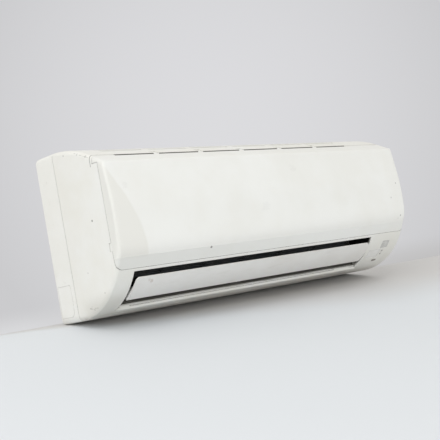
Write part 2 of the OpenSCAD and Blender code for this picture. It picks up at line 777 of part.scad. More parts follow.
// Pipe through points with right-angled bends of one radius
module pipe_run(pts, r, bend) {
  n = len(pts);
  for (i = [0:n - 2]) {
    d = (pts[i + 1] - pts[i]) / norm(pts[i + 1] - pts[i]);
    a = pts[i] + d * (i == 0 ? 0 : bend);
    b = pts[i + 1] - d * (i == n - 2 ? 0 : bend);
    side = abs(d[0]) > 0.5 ? [0, 90, 0] : (abs(d[1]) > 0.5 ? [-90, 0, 0] : [0, 0, 0]);
    flip = d[0] + d[1] + d[2] < 0;
    translate(flip ? b : a) rotate(side) cylinder(h = norm(b - a), r = r, $fn = 40);
  }
  for (i = [1:n - 2]) {
    d1 = (pts[i] - pts[i - 1]) / norm(pts[i] - pts[i - 1]);
    d2 = (pts[i + 1] - pts[i]) / norm(pts[i + 1] - pts[i]);
    c = pts[i] - d1 * bend + d2 * bend;
    z = cross(-d2, d1);
    multmatrix([
      [-d2[0], d1[0], z[0], c[0]], [-d2[1], d1[1], z[1], c[1]], [-d2[2], d1[2], z[2], c[2]], [0, 0, 0, 1]
    ])
      rotate_extrude(angle = 90, $fn = 48) translate([bend, 0]) circle(r = r, $fn = 32);
  }
}
// Pipe with a flare nut at the far end
module flared_pipe(pts, r, bend, nut) {
  end = pts[len(pts) - 1];
  pipe_run(pts, r, bend);
  translate(end - [2, 0, 0]) rotate([0, 90, 0]) cylinder(h = 18, r = nut, $fn = 6);
  translate(end - [9, 0, 0]) rotate([0, 90, 0]) cylinder(h = 10, r = r + 1.6, $fn = 40);
}
clamp_x = 120;
gas_y = -18.5;
gas_z = 46;
liquid_y = -9.5;
liquid_z = 26;
function on_rear(q) = [
  packs[2][0] + q[1] * cos(packs[2][2]) + q[0] * sin(packs[2][2]),
  packs[2][1] - q[1] * sin(packs[2][2]) + q[0] * cos(packs[2][2])
];
module gas_pipe() {
  top = on_rear(row_spots(2, -1)[0]);
  x = ev_r + 44;
  color("peru")
    flared_pipe([
      [ev_r + 5, top[0], top[1]], [x, top[0], top[1]], [x, gas_y, top[1]], [x, gas_y, gas_z], [-60, gas_y, gas_z]
    ], gas_r, 9, 9);
}
module liquid_pipe() {
  top = on_rear(row_spots(2, 1)[0]);
  x = ev_r + 35;
  color("peru")
    flared_pipe([
      [ev_r + 5, top[0], top[1]], [x, top[0], top[1]], [x, liquid_y, top[1]], [x, liquid_y, liquid_z],
      [-20, liquid_y, liquid_z]
    ], liquid_r, 6, 8);
}
module pipe_clamp() {
  color("silver")
    difference() {
      block([clamp_x - 6, gas_y - 9, wall + seat], [clamp_x + 6, -4.5, gas_z + 11]);
      rod_x(clamp_x - 10, clamp_x + 10, [gas_y, gas_z], gas_r + 0.05);
      rod_x(clamp_x - 10, clamp_x + 10, [liquid_y, liquid_z], liquid_r + 0.05);
    }
}

// Drain pan with the upper wall of the duct and its front cheeks
nose = fan_point(205, fan_r + 4.5);
pan_back = pan_front + 35.5;
spigot_axis = [pan_front + 21.5, pan_z + 9.5];
module drain_pan() {
  color("ivory")
    difference() {
      union() {
        along_x(out_l - cheek_t, out_r + cheek_t)
          polygon([
            nose, on_arc(outlet_turn, lower_r - 6), on_arc(outlet_turn + 0.9, lower_r - 8.5),
            [pan_front + 26.5, pan_z - 2.5], [pan_front + 28.5, pan_z], [pan_front + 4.5, pan_z],
            [pan_front, pan_z + 4], [pan_front, pan_z + 19], [pan_front + 2, pan_z + 19],
            [pan_front + 2, pan_z + 5], [pan_front + 5.5, pan_z + 2], [pan_front + 28.5, pan_z + 2],
            [pan_front + 33.5, pan_z + 6], [pan_front + 33.5, pan_z + 20], [pan_back, pan_z + 20],
            [pan_front + 37, pan_z + 5]
          ]);
        for (x = [out_l - cheek_t, out_r]) {
          along_x(x, x + cheek_t)
            polygon(concat(
              [
                [floor_top[0] - 2, pan_z + 21], [pan_back, pan_z + 20], [pan_front + 28.5, pan_z + 2],
                [pan_front + 4.5, pan_z + 2], on_arc(outlet_turn, lower_r - 6)
              ],
              arc_points(outlet_turn - 3, lip_turn + 4, lower_r - 6),
              [[floor_top[0] - 2, 26]]
            ));
        }
        // Ends of the pan with the screw bosses and the two spigots
        for (s = [-1, 1]) {
          xa = s < 0 ? out_l - 16 : out_r;
          block([xa, pan_front, pan_z], [xa + 16, pan_back, pan_z + 19]);
          spigot(s, 7.5);
        }
      }
      for (s = [-1, 1]) {
        xa = s < 0 ? out_l - 14 : out_r - 2;
        block([xa, pan_front + 12, pan_z + 2], [xa + 16, pan_back - 2, pan_z + 23]);
        spigot(s, 5.5);
      }
      for (x = screw_x) {
        translate([x, pan_front - 1, screw_z]) rotate([-90, 0, 0]) cylinder(h = 10, r = 1.55, $fn = 32);
      }
      // Hole for the louvre motor's shaft
      rod_x(out_r - 1, out_r + cheek_t + 1, flap_axis, 3.2);
    }
}
module spigot(s, r) {
  a = s < 0 ? out_l - 26 : out_r + 14;
  b = s < 0 ? out_l - 14 : out_r + 34;
  g = r < 6 ? 2 : 0;
  rod_x(a - g, b + g, spigot_axis, r);
}
module drain_plug() {
  color("dimgray") {
    rod_x(out_l - 32, out_l - 26, spigot_axis, 8);
    rod_x(out_l - 27, out_l - 15, spigot_axis, 5.45);
  }
}

// Cross-flow fan
rotor_l = out_l + 9;
rotor_r = out_r - 6;
module fan_rotor() {
  blade = [
    [fan_r - 10.5, 4.6], [fan_r - 7, 2.2], [fan_r - 3.4, 0.9], [fan_r - 0.6, 0.5],
    [fan_r - 0.6, -0.5], [fan_r - 3.6, -0.3], [fan_r - 7.4, 1], [fan_r - 11, 3.6]
  ];
  pitch = (rotor_r - rotor_l - 2) / (ring_count - 1);
  color("lightslategray")
    translate([0, -fan_d, fan_z])
      rotate([90, 0, 90]) {
        translate([0, 0, rotor_l + 1])
          linear_extrude(rotor_r - rotor_l - 2)
            for (k = [0:blade_count - 1]) {
              rotate(360 * k / blade_count) polygon(blade);
            }
        for (k = [1:ring_count - 2]) {
          translate([0, 0, rotor_l + k * pitch])
            difference() {
              cylinder(h = 2, r = fan_r, $fn = 72);
              translate([0, 0, -1]) cylinder(h = 4, r = fan_r - 12, $fn = 72);
            }
        }
        difference() {
          union() {
            translate([0, 0, rotor_l]) cylinder(h = 2, r = fan_r, $fn = 72);
            translate([0, 0, rotor_l]) cylinder(h = 10, r = 9, $fn = 48);
          }
          translate([0, 0, rotor_l - 1]) cylinder(h = 20, r = 4, $fn = 48);
        }
        difference() {
          union() {
            translate([0, 0, rotor_r - 2]) cylinder(h = 2, r = fan_r, $fn = 72);
            translate([0, 0, rotor_r - 24]) cylinder(h = 24, r = 12, $fn = 48);
          }
          translate([0, 0, rotor_r - 26]) cylinder(h = 40, r = 4, $fn = 48);
        }
      }
}
module fan_stub_shaft() {
  color("gray") rod_x(out_l - 6, rotor_l + 9, fan_axis, 4);
}
module fan_bearing() {
  color("dimgray")
    difference() {
      rod_x(out_l - 5, out_l + 2, fan_axis, bearing_r);
      rod_x(out_l - 6, out_l + 3, fan_axis, 4 + 0.05);
    }
}
// Rubber ring with a groove that the chassis grips
module bearing_rubber() {
  color("darkslategray")
    difference() {
      rod_x(out_l - 6, out_l + 3, fan_axis, rubber_r + 1.5);
      rod_x(out_l - 7, out_l + 4, fan_axis, bearing_r);
      difference() {
        rod_x(out_l - cheek_t, out_l, fan_axis, rubber_r + 3);
        rod_x(out_l - 5, out_l + 2, fan_axis, rubber_r - 1.5);
      }
    }
}
motor_x = out_r + 8;
module fan_motor() {
  color("gainsboro")
    difference() {
      union() {
        rod_x(motor_x, motor_x + motor_l, fan_axis, motor_r - 3);
        rod_x(motor_x + 8, motor_x + motor_l - 8, fan_axis, motor_r);
        rod_x(motor_x - 4, motor_x + 1, fan_axis, 13);
      }
      rod_x(motor_x - 5, motor_x + 30, fan_axis, 4 + 0.05);
      for (k = [0:11]) {
        translate([motor_x + motor_l - 3, -fan_d, fan_z])
          rotate([30 * k, 0, 0]) translate([0, 24, -1.5]) cube([4, 9, 3]);
      }
    }
}
module motor_shaft() {
  color("gray") rod_x(rotor_r - 24, motor_x + 24, fan_axis, 4);
}
module motor_strap() {
  color("silver")
    difference() {
      union() {
        rod_x(motor_x + 22, motor_x + 32, fan_axis, motor_r + 1.5);
        for (s = [-1, 1]) {
          y = -fan_d + s * (motor_r + 3) - 5;
          block([motor_x + 22, y, fan_z + seat], [motor_x + 32, y + 10, fan_z + 2]);
        }
      }
      rod_x(motor_x + 20, motor_x + 34, fan_axis, motor_r);
      block([motor_x + 20, -fan_d - 67, 0], [motor_x + 34, 0, fan_z + seat]);
    }
}

// Louvre, drawn shut and then turned open about its axis
flap_turn = [34.4, 57];
flap_x = [out_l + 4, out_r - 7];
arm_t = 3;
module flap() {
  mid = (flap_turn[0] + flap_turn[1]) / 2;
  color("white")
    translate([0, flap_axis[0], flap_axis[1]])
      rotate([flap_rest, 0, 0])
        translate([0, -flap_axis[0], -flap_axis[1]]) {
          intersection() {
            wedge(flap_turn[0], flap_turn[1], lower_r - flap_t, lower_r, flap_x[0], flap_x[1]);
            on_surface((flap_x[0] + flap_x[1]) / 2, mid)
              translate([0, 0, -12])
                linear_extrude(20)
                  polygon(rounded([
                    [-(flap_x[1] - flap_x[0]) / 2, -27.4, 4], [-(flap_x[1] - flap_x[0]) / 2, 27.4, 9],
                    [(flap_x[1] - flap_x[0]) / 2, 27.4, 14], [(flap_x[1] - flap_x[0]) / 2, -27.4, 4]
                  ]));
          }
          for (x = knuckle_x) {
            flap_arm(x - arm_t / 2, x + arm_t / 2);
            rod_x(x - arm_t / 2 - 4, x + arm_t / 2 + 4, flap_axis, flap_pin_r);
          }
          difference() {
            union() {
              flap_arm(flap_x[1] - 9, flap_x[1] - 6);
              rod_x(flap_x[1] - 9, flap_x[1] + 2, flap_axis, 4.4);
            }
            rod_x(flap_x[1] - 8, flap_x[1] + 3, flap_axis, 2.5);
          }
        }
}
module flap_arm(a, b) {
  along_x(a, b)
    polygon(concat(
      [flap_axis + [4, 1.5], flap_axis + [1, -4.4]],
      arc_points(flap_turn[0] + 2, flap_turn[0] + 9, lower_r - flap_t / 2),
      [flap_axis + [-1, 4.4]]
    ));
  rod_x(a, b, flap_axis, 4.4);
}
module flap_motor() {
  color("silver")
    difference() {
      union() {
        rod_x(out_r + cheek_t + seat, out_r + cheek_t + 16, flap_axis, 13.5);
        block([out_r + cheek_t + 2, flap_axis[0] - 6, flap_axis[1] + 10],
          [out_r + cheek_t + 14, flap_axis[0] + 6, flap_axis[1] + 17]);
      }
      rod_x(out_r, out_r + 12, flap_axis, 2.5 + 0.05);
    }
}
module flap_motor_shaft() {
  color("goldenrod") rod_x(flap_x[1] - 7, out_r + 12, flap_axis, 2.5);
}

// Vanes, each on a pin in its rail, and the bars that join them
rail_t = 3;
vane_s = 27;
crank = 15;
vane_t = 1.6;
bank_x = [(knuckle_x[0] + knuckle_x[1]) / 2, (knuckle_x[1] + knuckle_x[2]) / 2];
vane_pitch = (knuckle_pitch - 2 * vane_room) / 4;
function vane_x(i) = bank_x[floor(i / 5)] + (i % 5 - 2) * vane_pitch;
module vane(i) {
  color("whitesmoke")
    on_floor(vane_x(i), vane_s, rail_t + seat) {
      translate([-vane_t / 2, 0, 0])
        rotate([90, 0, 90])
          linear_extrude(vane_t)
            polygon(rounded([
              [-18, 1, 3], [-18, vane_h, 4], [3, vane_h, 6], [9, vane_h - 6, 5], [10, 1, 2]
            ]));
      translate([0, 0, -rail_t]) cylinder(h = rail_t + 1.2, r = vane_pin_r, $fn = 32);
      cylinder(h = 1.4, r = 3, $fn = 32);
      translate([0, -crank, vane_h - 1]) cylinder(h = 4.4, r = vane_pin_r, $fn = 32);
    }
}
module vane_link(b) {
  color("white")
    on_floor(bank_x[b], vane_s - crank, rail_t + seat + vane_h + 0.4)
      difference() {
        translate([-2 * vane_pitch - 6, -4, 0]) cube([4 * vane_pitch + 12, 8, 2]);
        for (k = [-2:2]) {
          translate([k * vane_pitch, 0, -1]) cylinder(h = 4, r = vane_pin_r + run, $fn = 32);
        }
      }
}
module vane_rail(b) {
  color("ivory")
    on_floor(bank_x[b], vane_s, 0)
      difference() {
        translate([-2 * vane_pitch - 12, -6, 0]) cube([4 * vane_pitch + 24, 12, rail_t]);
        for (k = [-2:2]) {
          translate([k * vane_pitch, 0, -1]) cylinder(h = 6, r = vane_pin_r + run, $fn = 32);
        }
      }
}

// Electrical parts
box_x = [out_r + 26, half_w - wall - seat];
box_y = [-body_d + 62, -end_r];
box_z = [152, body_h - 42];
module control_box() {
  color("dimgray")
    difference() {
      block([box_x[0], box_y[0], box_z[0]], [box_x[1], box_y[1], box_z[1]]);
      block([box_x[0] + 2, box_y[0] - 1, box_z[0] + 2], [box_x[1] - 2, box_y[1] - 2, box_z[1] - 2]);
    }
}
module control_box_cover() {
  color("dimgray") {
    block([box_x[0], box_y[0] - 2.3, box_z[0]], [box_x[1] - 2, box_y[0] - 0.3, box_z[1]]);
    block([box_x[0] + 2.3, box_y[0] - 1, box_z[1] - 6], [box_x[1] - 4.5, box_y[0] + 5, box_z[1] - 4.3]);
  }
}
module control_board() {
  x = box_x[1] - 2;
  color("green") {
    block([x - 2.1, box_y[0] + 10, box_z[0] + 2.3], [x - 0.3, box_y[1] - 4, box_z[1] - 8]);
    block([x - 26, box_y[0] + 80, box_z[0] + 16], [x - 2, box_y[0] + 108, box_z[0] + 42]);
    block([x - 16, box_y[0] + 40, box_z[0] + 50], [x - 2, box_y[0] + 54, box_z[0] + 70]);
    for (y = [28, 44, 62]) {
      translate([x - 22, box_y[0] + y, box_z[0] + 30]) rotate([0, 90, 0]) cylinder(h = 20, r = 6, $fn = 32);
    }
  }
}
module terminal_block() {
  x = box_x[0] + 8;
  color("tan")
    difference() {
      union() {
        block([x, box_y[0] + 6, box_z[0] + 2.3], [x + 46, box_y[0] + 26, box_z[0] + 12]);
        for (k = [0:5]) {
          block([x + k * 9, box_y[0] + 6, box_z[0] + 11], [x + k * 9 + 1, box_y[0] + 26, box_z[0] + 17]);
        }
      }
      for (k = [0:4]) {
        translate([x + 5 + k * 9, box_y[0] + 16, box_z[0] + 6]) cylinder(h = 10, r = 2.2, $fn = 24);
      }
    }
}
module casing_screws() {
  color("silver")
    for (x = screw_x) {
      translate([x, pan_front - 4.5, screw_z]) rotate([-90, 0, 0]) cylinder(h = 1.8, r = 3.8, $fn = 32);
      translate([x, pan_front - 3.5, screw_z]) rotate([-90, 0, 0]) cylinder(h = 12.5, r = 1.5, $fn = 32);
    }
}

at_mount() {
  mounting_plate();
  rear_chassis();
  pipe_cover(-1);  // pipe_cover_left
  pipe_cover(1);  // pipe_cover_right
  front_casing();
  front_panel();
  filter_frame(0);  // filter_frame_left
  filter_frame(1);  // filter_frame_right
  filter_net(0);  // filter_net_left
  filter_net(1);  // filter_net_right
  fin_pack(0);  // fin_pack_front
  fin_pack(1);  // fin_pack_middle
  fin_pack(2);  // fin_pack_rear
  tube_plate(ev_l - 1.2);  // tube_plate_left
  tube_plate(ev_r);  // tube_plate_right
  evaporator_tubes();
  return_bends(ev_l - 5, -1);  // return_bends_left
  return_bends(ev_r + 5, 1);  // return_bends_right
  gas_pipe();
  liquid_pipe();
  pipe_clamp();
  drain_pan();
  drain_plug();
  fan_rotor();
  fan_stub_shaft();
  fan_bearing();
  bearing_rubber();
  fan_motor();
  motor_shaft();
  motor_strap();
  flap();
  flap_motor();
  flap_motor_shaft();
  vane(0);  // vane_1
  vane(1);  // vane_2
  vane(2);  // vane_3
  vane(3);  // vane_4
  vane(4);  // vane_5
  vane(5);  // vane_6
  vane(6);  // vane_7
  vane(7);  // vane_8
  vane(8);  // vane_9
  vane(9);  // vane_10
  vane_link(0);  // vane_link_left
  vane_link(1);  // vane_link_right
  vane_rail(0);  // vane_rail_left
  vane_rail(1);  // vane_rail_right
  control_box();
  control_board();
  control_box_cover();
  terminal_block();
  display_board();
  display_window();
  receiver_window();
  lamp_lenses();
  test_button();
  casing_screws();
}
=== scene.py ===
# %% [markdown]
# # The indoor unit of a wall air conditioner
# The solids of the unit come ready made, each part as its own object. This lesson gives them their
# finishes: aged white mouldings, dusty black vanes, filters, fins, copper and plated steel. It then adds
# the few pieces that are better made as meshes, sets the unit on a pale floor and lights it softly.

# %% Load the parts of the unit
import math

import bmesh
import bpy
from mathutils import Matrix, Vector


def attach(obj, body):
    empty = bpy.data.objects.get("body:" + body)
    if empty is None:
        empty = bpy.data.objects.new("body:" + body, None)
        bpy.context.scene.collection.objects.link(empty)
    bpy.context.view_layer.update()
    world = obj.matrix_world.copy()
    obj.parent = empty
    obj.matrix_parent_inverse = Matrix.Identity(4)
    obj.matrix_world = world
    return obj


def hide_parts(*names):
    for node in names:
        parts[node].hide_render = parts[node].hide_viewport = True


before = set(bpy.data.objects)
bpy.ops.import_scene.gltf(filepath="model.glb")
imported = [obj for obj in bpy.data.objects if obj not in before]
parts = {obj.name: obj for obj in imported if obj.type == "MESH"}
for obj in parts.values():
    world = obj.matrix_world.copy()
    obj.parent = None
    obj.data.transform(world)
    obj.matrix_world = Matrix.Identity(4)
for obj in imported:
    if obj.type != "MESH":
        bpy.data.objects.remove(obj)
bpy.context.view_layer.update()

# %% [markdown]
# ## Millimetres from the underside
# The drawings of the unit count millimetres along it, from the wall and up from its underside. Blender
# works in metres from the middle of the wall plate, so two small helpers turn the first into the second.
# A third one puts a new object into the scene, which takes two calls in Blender.

# %% Helpers for places and objects
MM = 0.001
PLATE_HEIGHT = 180


def spot(x, y, z):
    """A place in metres, from millimetres along, from the wall and above the underside."""
    return Vector((x, y, z - PLATE_HEIGHT)) * MM


def level(z):
    """A height in metres, from millimetres above the underside."""
    return (z - PLATE_HEIGHT) * MM


def new_object(name, data):
    """An object in the scene that shows a mesh, a camera or a lamp."""
    made = bpy.data.objects.new(name, data)
    bpy.context.scene.collection.objects.link(made)
    return made


print("underside in metres:", level(0))

# %% [markdown]
# ## The camera
# The unit is seen from its left front and from a little below the middle, through a long lens, and it
# leans back. The floor leans instead, so that the unit itself stays upright in its own frame. Three
# directions fix the camera: to the right, up and backwards.

# %% Place the camera
CAMERA_PLACE = Vector((-1.3902, -1.4656, -0.1844))
CAMERA_RIGHT = Vector((0.7163, -0.6740, -0.1806))
CAMERA_UP = Vector((0.0764, -0.1816, 0.9804))
LENS = 80.4

camera = new_object("camera", bpy.data.cameras.new("camera"))
camera.data.lens = LENS
camera.data.sensor_width = 36
right = CAMERA_RIGHT.normalized()
back = right.cross(CAMERA_UP).normalized()
turn = Matrix((right, back.cross(right), back)).transposed()
camera.matrix_world = Matrix.Translation(CAMERA_PLACE) @ turn.to_4x4()
bpy.context.scene.camera = camera
print("camera looks along", [round(-c, 3) for c in back])

# %% [markdown]
# ## The floor
# The floor is one pale sheet. In front of the unit it falls away by the angle at which the unit leans,
# behind it the sheet is level, and a short bend joins the two.

# %% Build the floor
LEAN = math.tan(math.radians(15))
BEND = 0.05


def floor_height(y):
    """Height of the floor at a distance behind the wall plane."""
    if y < -BEND:
        drop = LEAN * (y + BEND) - LEAN * BEND
    elif y < BEND:
        drop = -LEAN * (y - BEND) ** 2 / (4 * BEND)
    else:
        drop = 0.0
    return level(0) + drop + LEAN * BEND / 4


def mesh_piece(name, corners, faces):
    """A new mesh object from corners and faces, in the scene."""
    mesh = bpy.data.meshes.new(name)
    mesh.from_pydata([tuple(c) for c in corners], [], faces)
    mesh.validate()
    for face in mesh.polygons:
        face.use_smooth = True
    return new_object(name, mesh)


stops = [-9, -4, -1.5, -0.5, -0.1] + [BEND * k / 6 for k in range(-6, 7)] + [0.1, 0.5, 1.5, 4, 9]
rows = [(side * 9, y, floor_height(y)) for y in stops for side in (-1, 1)]
strips = [(2 * i, 2 * i + 1, 2 * i + 3, 2 * i + 2) for i in range(len(stops) - 1)]
floor = mesh_piece("floor", rows, strips)
print("floor strips:", len(strips))

# %% [markdown]
# ## Wiring nodes
# Every finish is a small graph of nodes, and so is the sky. Writing each link by hand hides the idea
# behind the plumbing, so one class holds the steps that come up most. Each adds its node, joins its inputs
# and gives back its result.

# %% A class for node graphs
class Graph:
    """A tree of shader nodes and the steps that wire it."""

    def __init__(self, tree):
        self.tree = tree

    def add(self, kind, joins=None, **settings):
        """Adds a node, sets its options and joins or sets its inputs."""
        node = self.tree.nodes.new("ShaderNode" + kind)
        for key, value in settings.items():
            setattr(node, key, value)
        for key, value in (joins or {}).items():
            self.feed(node.inputs[key], value)
        return node

    def feed(self, socket, value):
        """Joins a socket to an input, or sets the input's plain value."""
        if isinstance(value, bpy.types.NodeSocket):
            self.tree.links.new(value, socket)
        else:
            socket.default_value = value

    def calc(self, operation, a, b=0.0, c=0.0):
        """One step of arithmetic."""
        return self.add("Math", {0: a, 1: b, 2: c}, operation=operation).outputs[0]

    def times(self, a, b):
        return self.calc("MULTIPLY", a, b)

    def minus(self, a, b):
        return self.calc("SUBTRACT", a, b)

    def vector(self, operation, a, b=(0, 0, 0)):
        """One step of vector arithmetic, which gives a vector or a number."""
        outputs = self.add("VectorMath", {0: a, 1: b}, operation=operation).outputs
        return outputs["Value" if operation in ("DISTANCE", "DOT_PRODUCT", "LENGTH") else "Vector"]

    def away(self, a, b):
        """Distance from nought of a point with two coordinates."""
        return self.calc("SQRT", self.calc("MULTIPLY_ADD", a, a, self.times(b, b)))

    def remap(self, value, low, high, to_low=0.0, to_high=1.0, smooth=True):
        """Turns one range of values into another."""
        joins = {"Value": value, 1: low, 2: high, 3: to_low, 4: to_high}
        kind = "SMOOTHSTEP" if smooth else "LINEAR"
        return self.add("MapRange", joins, interpolation_type=kind).outputs[0]

    def blend(self, share, first, second):
        """A colour between two others."""
        node = self.add("Mix", {0: share}, data_type="RGBA")
        for slot, colour in ((6, first), (7, second)):
            self.feed(node.inputs[slot], (*colour, 1) if isinstance(colour, tuple) else colour)
        return node.outputs[2]


print("members of a graph:", len(vars(Graph)))

# %% [markdown]
# ## A material of its own
# A finish is a graph with a shader at its end. Its patterns follow the place on the surface in metres, so
# they keep their real size on every part. Soft noise serves for all that is uneven, and a relief lets the
# light show it.

# %% A class for finishes
class Finish(Graph):
    """A new material, its places, its noise and its relief."""

    def __init__(self, name):
        self.material = bpy.data.materials.new(name)
        self.material.use_nodes = True
        super().__init__(self.material.node_tree)
        self.shader = self.tree.nodes["Principled BSDF"]

    def join(self, **inputs):
        """Feeds the inputs of the shader and gives back the material."""
        for key, value in inputs.items():
            self.feed(self.shader.inputs[key.replace("_", " ")], value)
        return self.material

    def place(self):
        """The point on the surface, in metres in the frame of the unit."""
        return self.add("TexCoord").outputs["Object"]

    def axes(self):
        """The three coordinates of the point, one by one."""
        return self.add("SeparateXYZ", {0: self.place()}).outputs

    def rise(self, low, high, smooth=True):
        """Goes from 0 at one height to 1 at another, both in millimetres above the underside."""
        return self.remap(self.axes()["Z"], level(low), level(high), smooth=smooth)

    def noise(self, size, detail=3.0, rough=0.55, at=None, stretch=(1, 1, 1)):
        """Soft random patches of about a given size in metres, between 0 and 1."""
        where = self.add("Mapping", {"Vector": at or self.place(), "Scale": stretch}).outputs[0]
        joins = {"Vector": where, "Scale": 1 / size, "Detail": detail, "Roughness": rough}
        return self.add("TexNoise", joins).outputs["Fac"]

    def bump(self, height, depth, over=None):
        """Turns a height between 0 and 1 into a relief of a given depth in metres."""
        joins = {"Height": height, "Distance": depth, "Strength": 1.0}
        if over:
            joins["Normal"] = over
        return self.add("Bump", joins).outputs["Normal"]


print("members of a finish:", len(vars(Finish)))

# %% [markdown]
# ## Paint the floor
# Studio paper is matt and never quite even. In front it is bright and plain. Where it turns up behind the
# unit less light reaches it, so the paper there is painted a darker shade, and a soft band of painted
# shade leads over to the darker tone of the backdrop. The band runs a little askew to the unit, because
# the unit stands askew on the paper.

# %% Finish of the floor
FLOOR_FRONT = (0.705, 0.735, 0.765)
# The paper behind the unit, painted a darker shade.
FLOOR_BACK_SHADE = (0.613, 0.606, 0.602)
BAND_FRONT, BAND_FRONT_SKEW, BAND_FRONT_END = -0.24, -0.46, -0.33
BAND_BACK, BAND_BACK_SKEW = -0.067, -0.093
BAND_LEAST = 0.05
CLOUD_GREY = (0.5, 0.5, 0.5)


def paper():
    m = Finish("studio_paper")
    along = m.axes()
    # A band of painted shade, from the bright front to the darker back.
    front_edge = m.calc("MULTIPLY_ADD", along["X"], BAND_FRONT_SKEW, BAND_FRONT)
    front_edge = m.calc("MAXIMUM", front_edge, BAND_FRONT_END)
    back_edge = m.calc("MULTIPLY_ADD", along["X"], BAND_BACK_SKEW, BAND_BACK)
    width = m.calc("MAXIMUM", m.minus(back_edge, front_edge), BAND_LEAST)
    depth = m.remap(m.calc("DIVIDE", m.minus(along["Y"], front_edge), width), 0.0, 1.0)
    cloud = m.remap(m.noise(0.8, 2), 0.3, 0.8, 0, 0.03)
    worn = m.blend(cloud, m.blend(depth, FLOOR_FRONT, FLOOR_BACK_SHADE), CLOUD_GREY)
    grain = m.bump(m.noise(0.002), 0.0001)
    return m.join(Base_Color=worn, Roughness=0.85, Normal=grain)


floor.data.materials.append(paper())
print("floor painted")

# %% [markdown]
# ## Smooth faces and soft edges
# The solids arrive as flat facets. Real mouldings are smooth sheets that turn sharply only at their
# edges. A tiny geometry graph merges the facets, shades them smoothly and keeps every edge over 28
# degrees sharp. Weighted normals then keep the large flat faces flat.

# %% Smooth the facets of every part
SHARP_ANGLE = math.radians(28)


def smoothing_graph():
    """Merges facets and shades them smoothly between sharp edges."""
    graph = bpy.data.node_groups.new("smooth_mouldings", "GeometryNodeTree")
    graph.interface.new_socket("Geometry", in_out="INPUT", socket_type="NodeSocketGeometry")
    graph.interface.new_socket("Geometry", in_out="OUTPUT", socket_type="NodeSocketGeometry")
    new, link = graph.nodes.new, graph.links.new
    start, end = new("NodeGroupInput"), new("NodeGroupOutput")
    weld = new("GeometryNodeMergeByDistance")
    weld.inputs["Distance"].default_value = 2e-6
    faces, edges = new("GeometryNodeSetShadeSmooth"), new("GeometryNodeSetShadeSmooth")
    edges.domain = "EDGE"
    edges.inputs["Shade Smooth"].default_value = False
    angle, compare = new("GeometryNodeInputMeshEdgeAngle"), new("FunctionNodeCompare")
    compare.inputs["B"].default_value = SHARP_ANGLE
    link(start.outputs[0], weld.inputs["Geometry"])
    link(weld.outputs[0], faces.inputs["Geometry"])
    link(faces.outputs[0], edges.inputs["Geometry"])
    link(angle.outputs["Unsigned Angle"], compare.inputs["A"])
    link(compare.outputs[0], edges.inputs["Selection"])
    link(edges.outputs[0], end.inputs[0])
    return graph


smoothing = smoothing_graph()
for part in parts.values():
    for layer in ("custom_normal", "sharp_face", "sharp_edge"):
        if layer in part.data.attributes:
            part.data.attributes.remove(part.data.attributes[layer])
    part.modifiers.new("smooth", "NODES").node_group = smoothing
    weigh = part.modifiers.new("weigh", "WEIGHTED_NORMAL")
    weigh.keep_sharp = True
print("smoothed:", len(parts))

# %% [markdown]
# ## Aged white plastic
# The outside is injection-moulded plastic, once bright white. On the real unit light and smoke have
# warmed it unevenly, and its skin keeps a fine moulding grain. One function makes this family: slow clouds
# of warmth, fine dust specks, a grain in the relief and a gloss that varies. Every joint is painted dark,
# partly as settled dust and partly as painted shade. Finding how shut-in a point is, within two
# millimetres, puts it there without drawing a line.

# %% Base of all moulded plastic
SEAM_REACH = 0.0022
SEAM_DUST_AND_SHADE = (0.05, 0.040, 0.028)
DUST_BROWN = (0.36, 0.33, 0.27)
PLASTIC_IOR = 1.49


def moulded(name, fresh_tone, aged_tone, gloss=0.38, grain=0.0011, relief=0.00002):
    """A plastic with warm clouds, specks of dust, dark joints of dust and painted shade, and a fine
    moulding grain. Also gives its tone.
    """
    m = Finish(name)
    where = m.place()
    cloud = m.noise(0.16, 4, at=where)
    patch = m.noise(0.035, 3, at=where)
    mood = m.calc("ADD", m.times(cloud, 0.7), m.times(patch, 0.3))
    tone = m.blend(m.remap(mood, 0.35, 0.65), fresh_tone, aged_tone)
    dust = m.noise(0.0045, 5, 0.7, at=where)
    tone = m.blend(m.remap(dust, 0.70, 0.78, 0, 0.55), tone, DUST_BROWN)
    # Dust and painted shade in the joints, where little light reaches.
    open_sky = m.add("AmbientOcclusion", {"Distance": SEAM_REACH}, samples=6).outputs["AO"]
    tone = m.blend(m.remap(open_sky, 0.15, 0.62), SEAM_DUST_AND_SHADE, tone)
    skin = m.noise(grain, 2, at=where)
    rough = m.remap(cloud, 0.3, 0.7, gloss - 0.05, gloss + 0.08)
    edge = m.add("Bevel", {"Radius": 0.0006}, samples=6).outputs[0]
    m.join(Base_Color=tone, Roughness=rough, Normal=m.bump(skin, relief, edge), IOR=PLASTIC_IOR)
    return m, tone


print("plastic family ready")

# %% [markdown]
# ## Marks of use
# Knocks and scratches have ragged edges. The distance from a place, disturbed by fine noise, gives a mark
# without any image. A scratch is the same idea with the distance from a line.

# %% Marks and scratches
SPECK_GREY = (0.22, 0.21, 0.20)


def marked(m, tone, marks, colour):
    """The tone with ragged marks, from rows of a place, a radius in metres and a strength."""
    for centre, radius, strength in marks:
        where = m.place()
        away = m.vector("DISTANCE", where, spot(*centre))
        crumbs = m.noise(0.006, 4, 0.7, at=where)
        ragged = m.remap(crumbs, 0.3, 0.7, -0.5 * radius, 0.5 * radius, False)
        share = m.remap(m.calc("ADD", away, ragged), radius * 0.55, radius, strength, 0.0)
        tone = m.blend(share, tone, colour)
    return tone


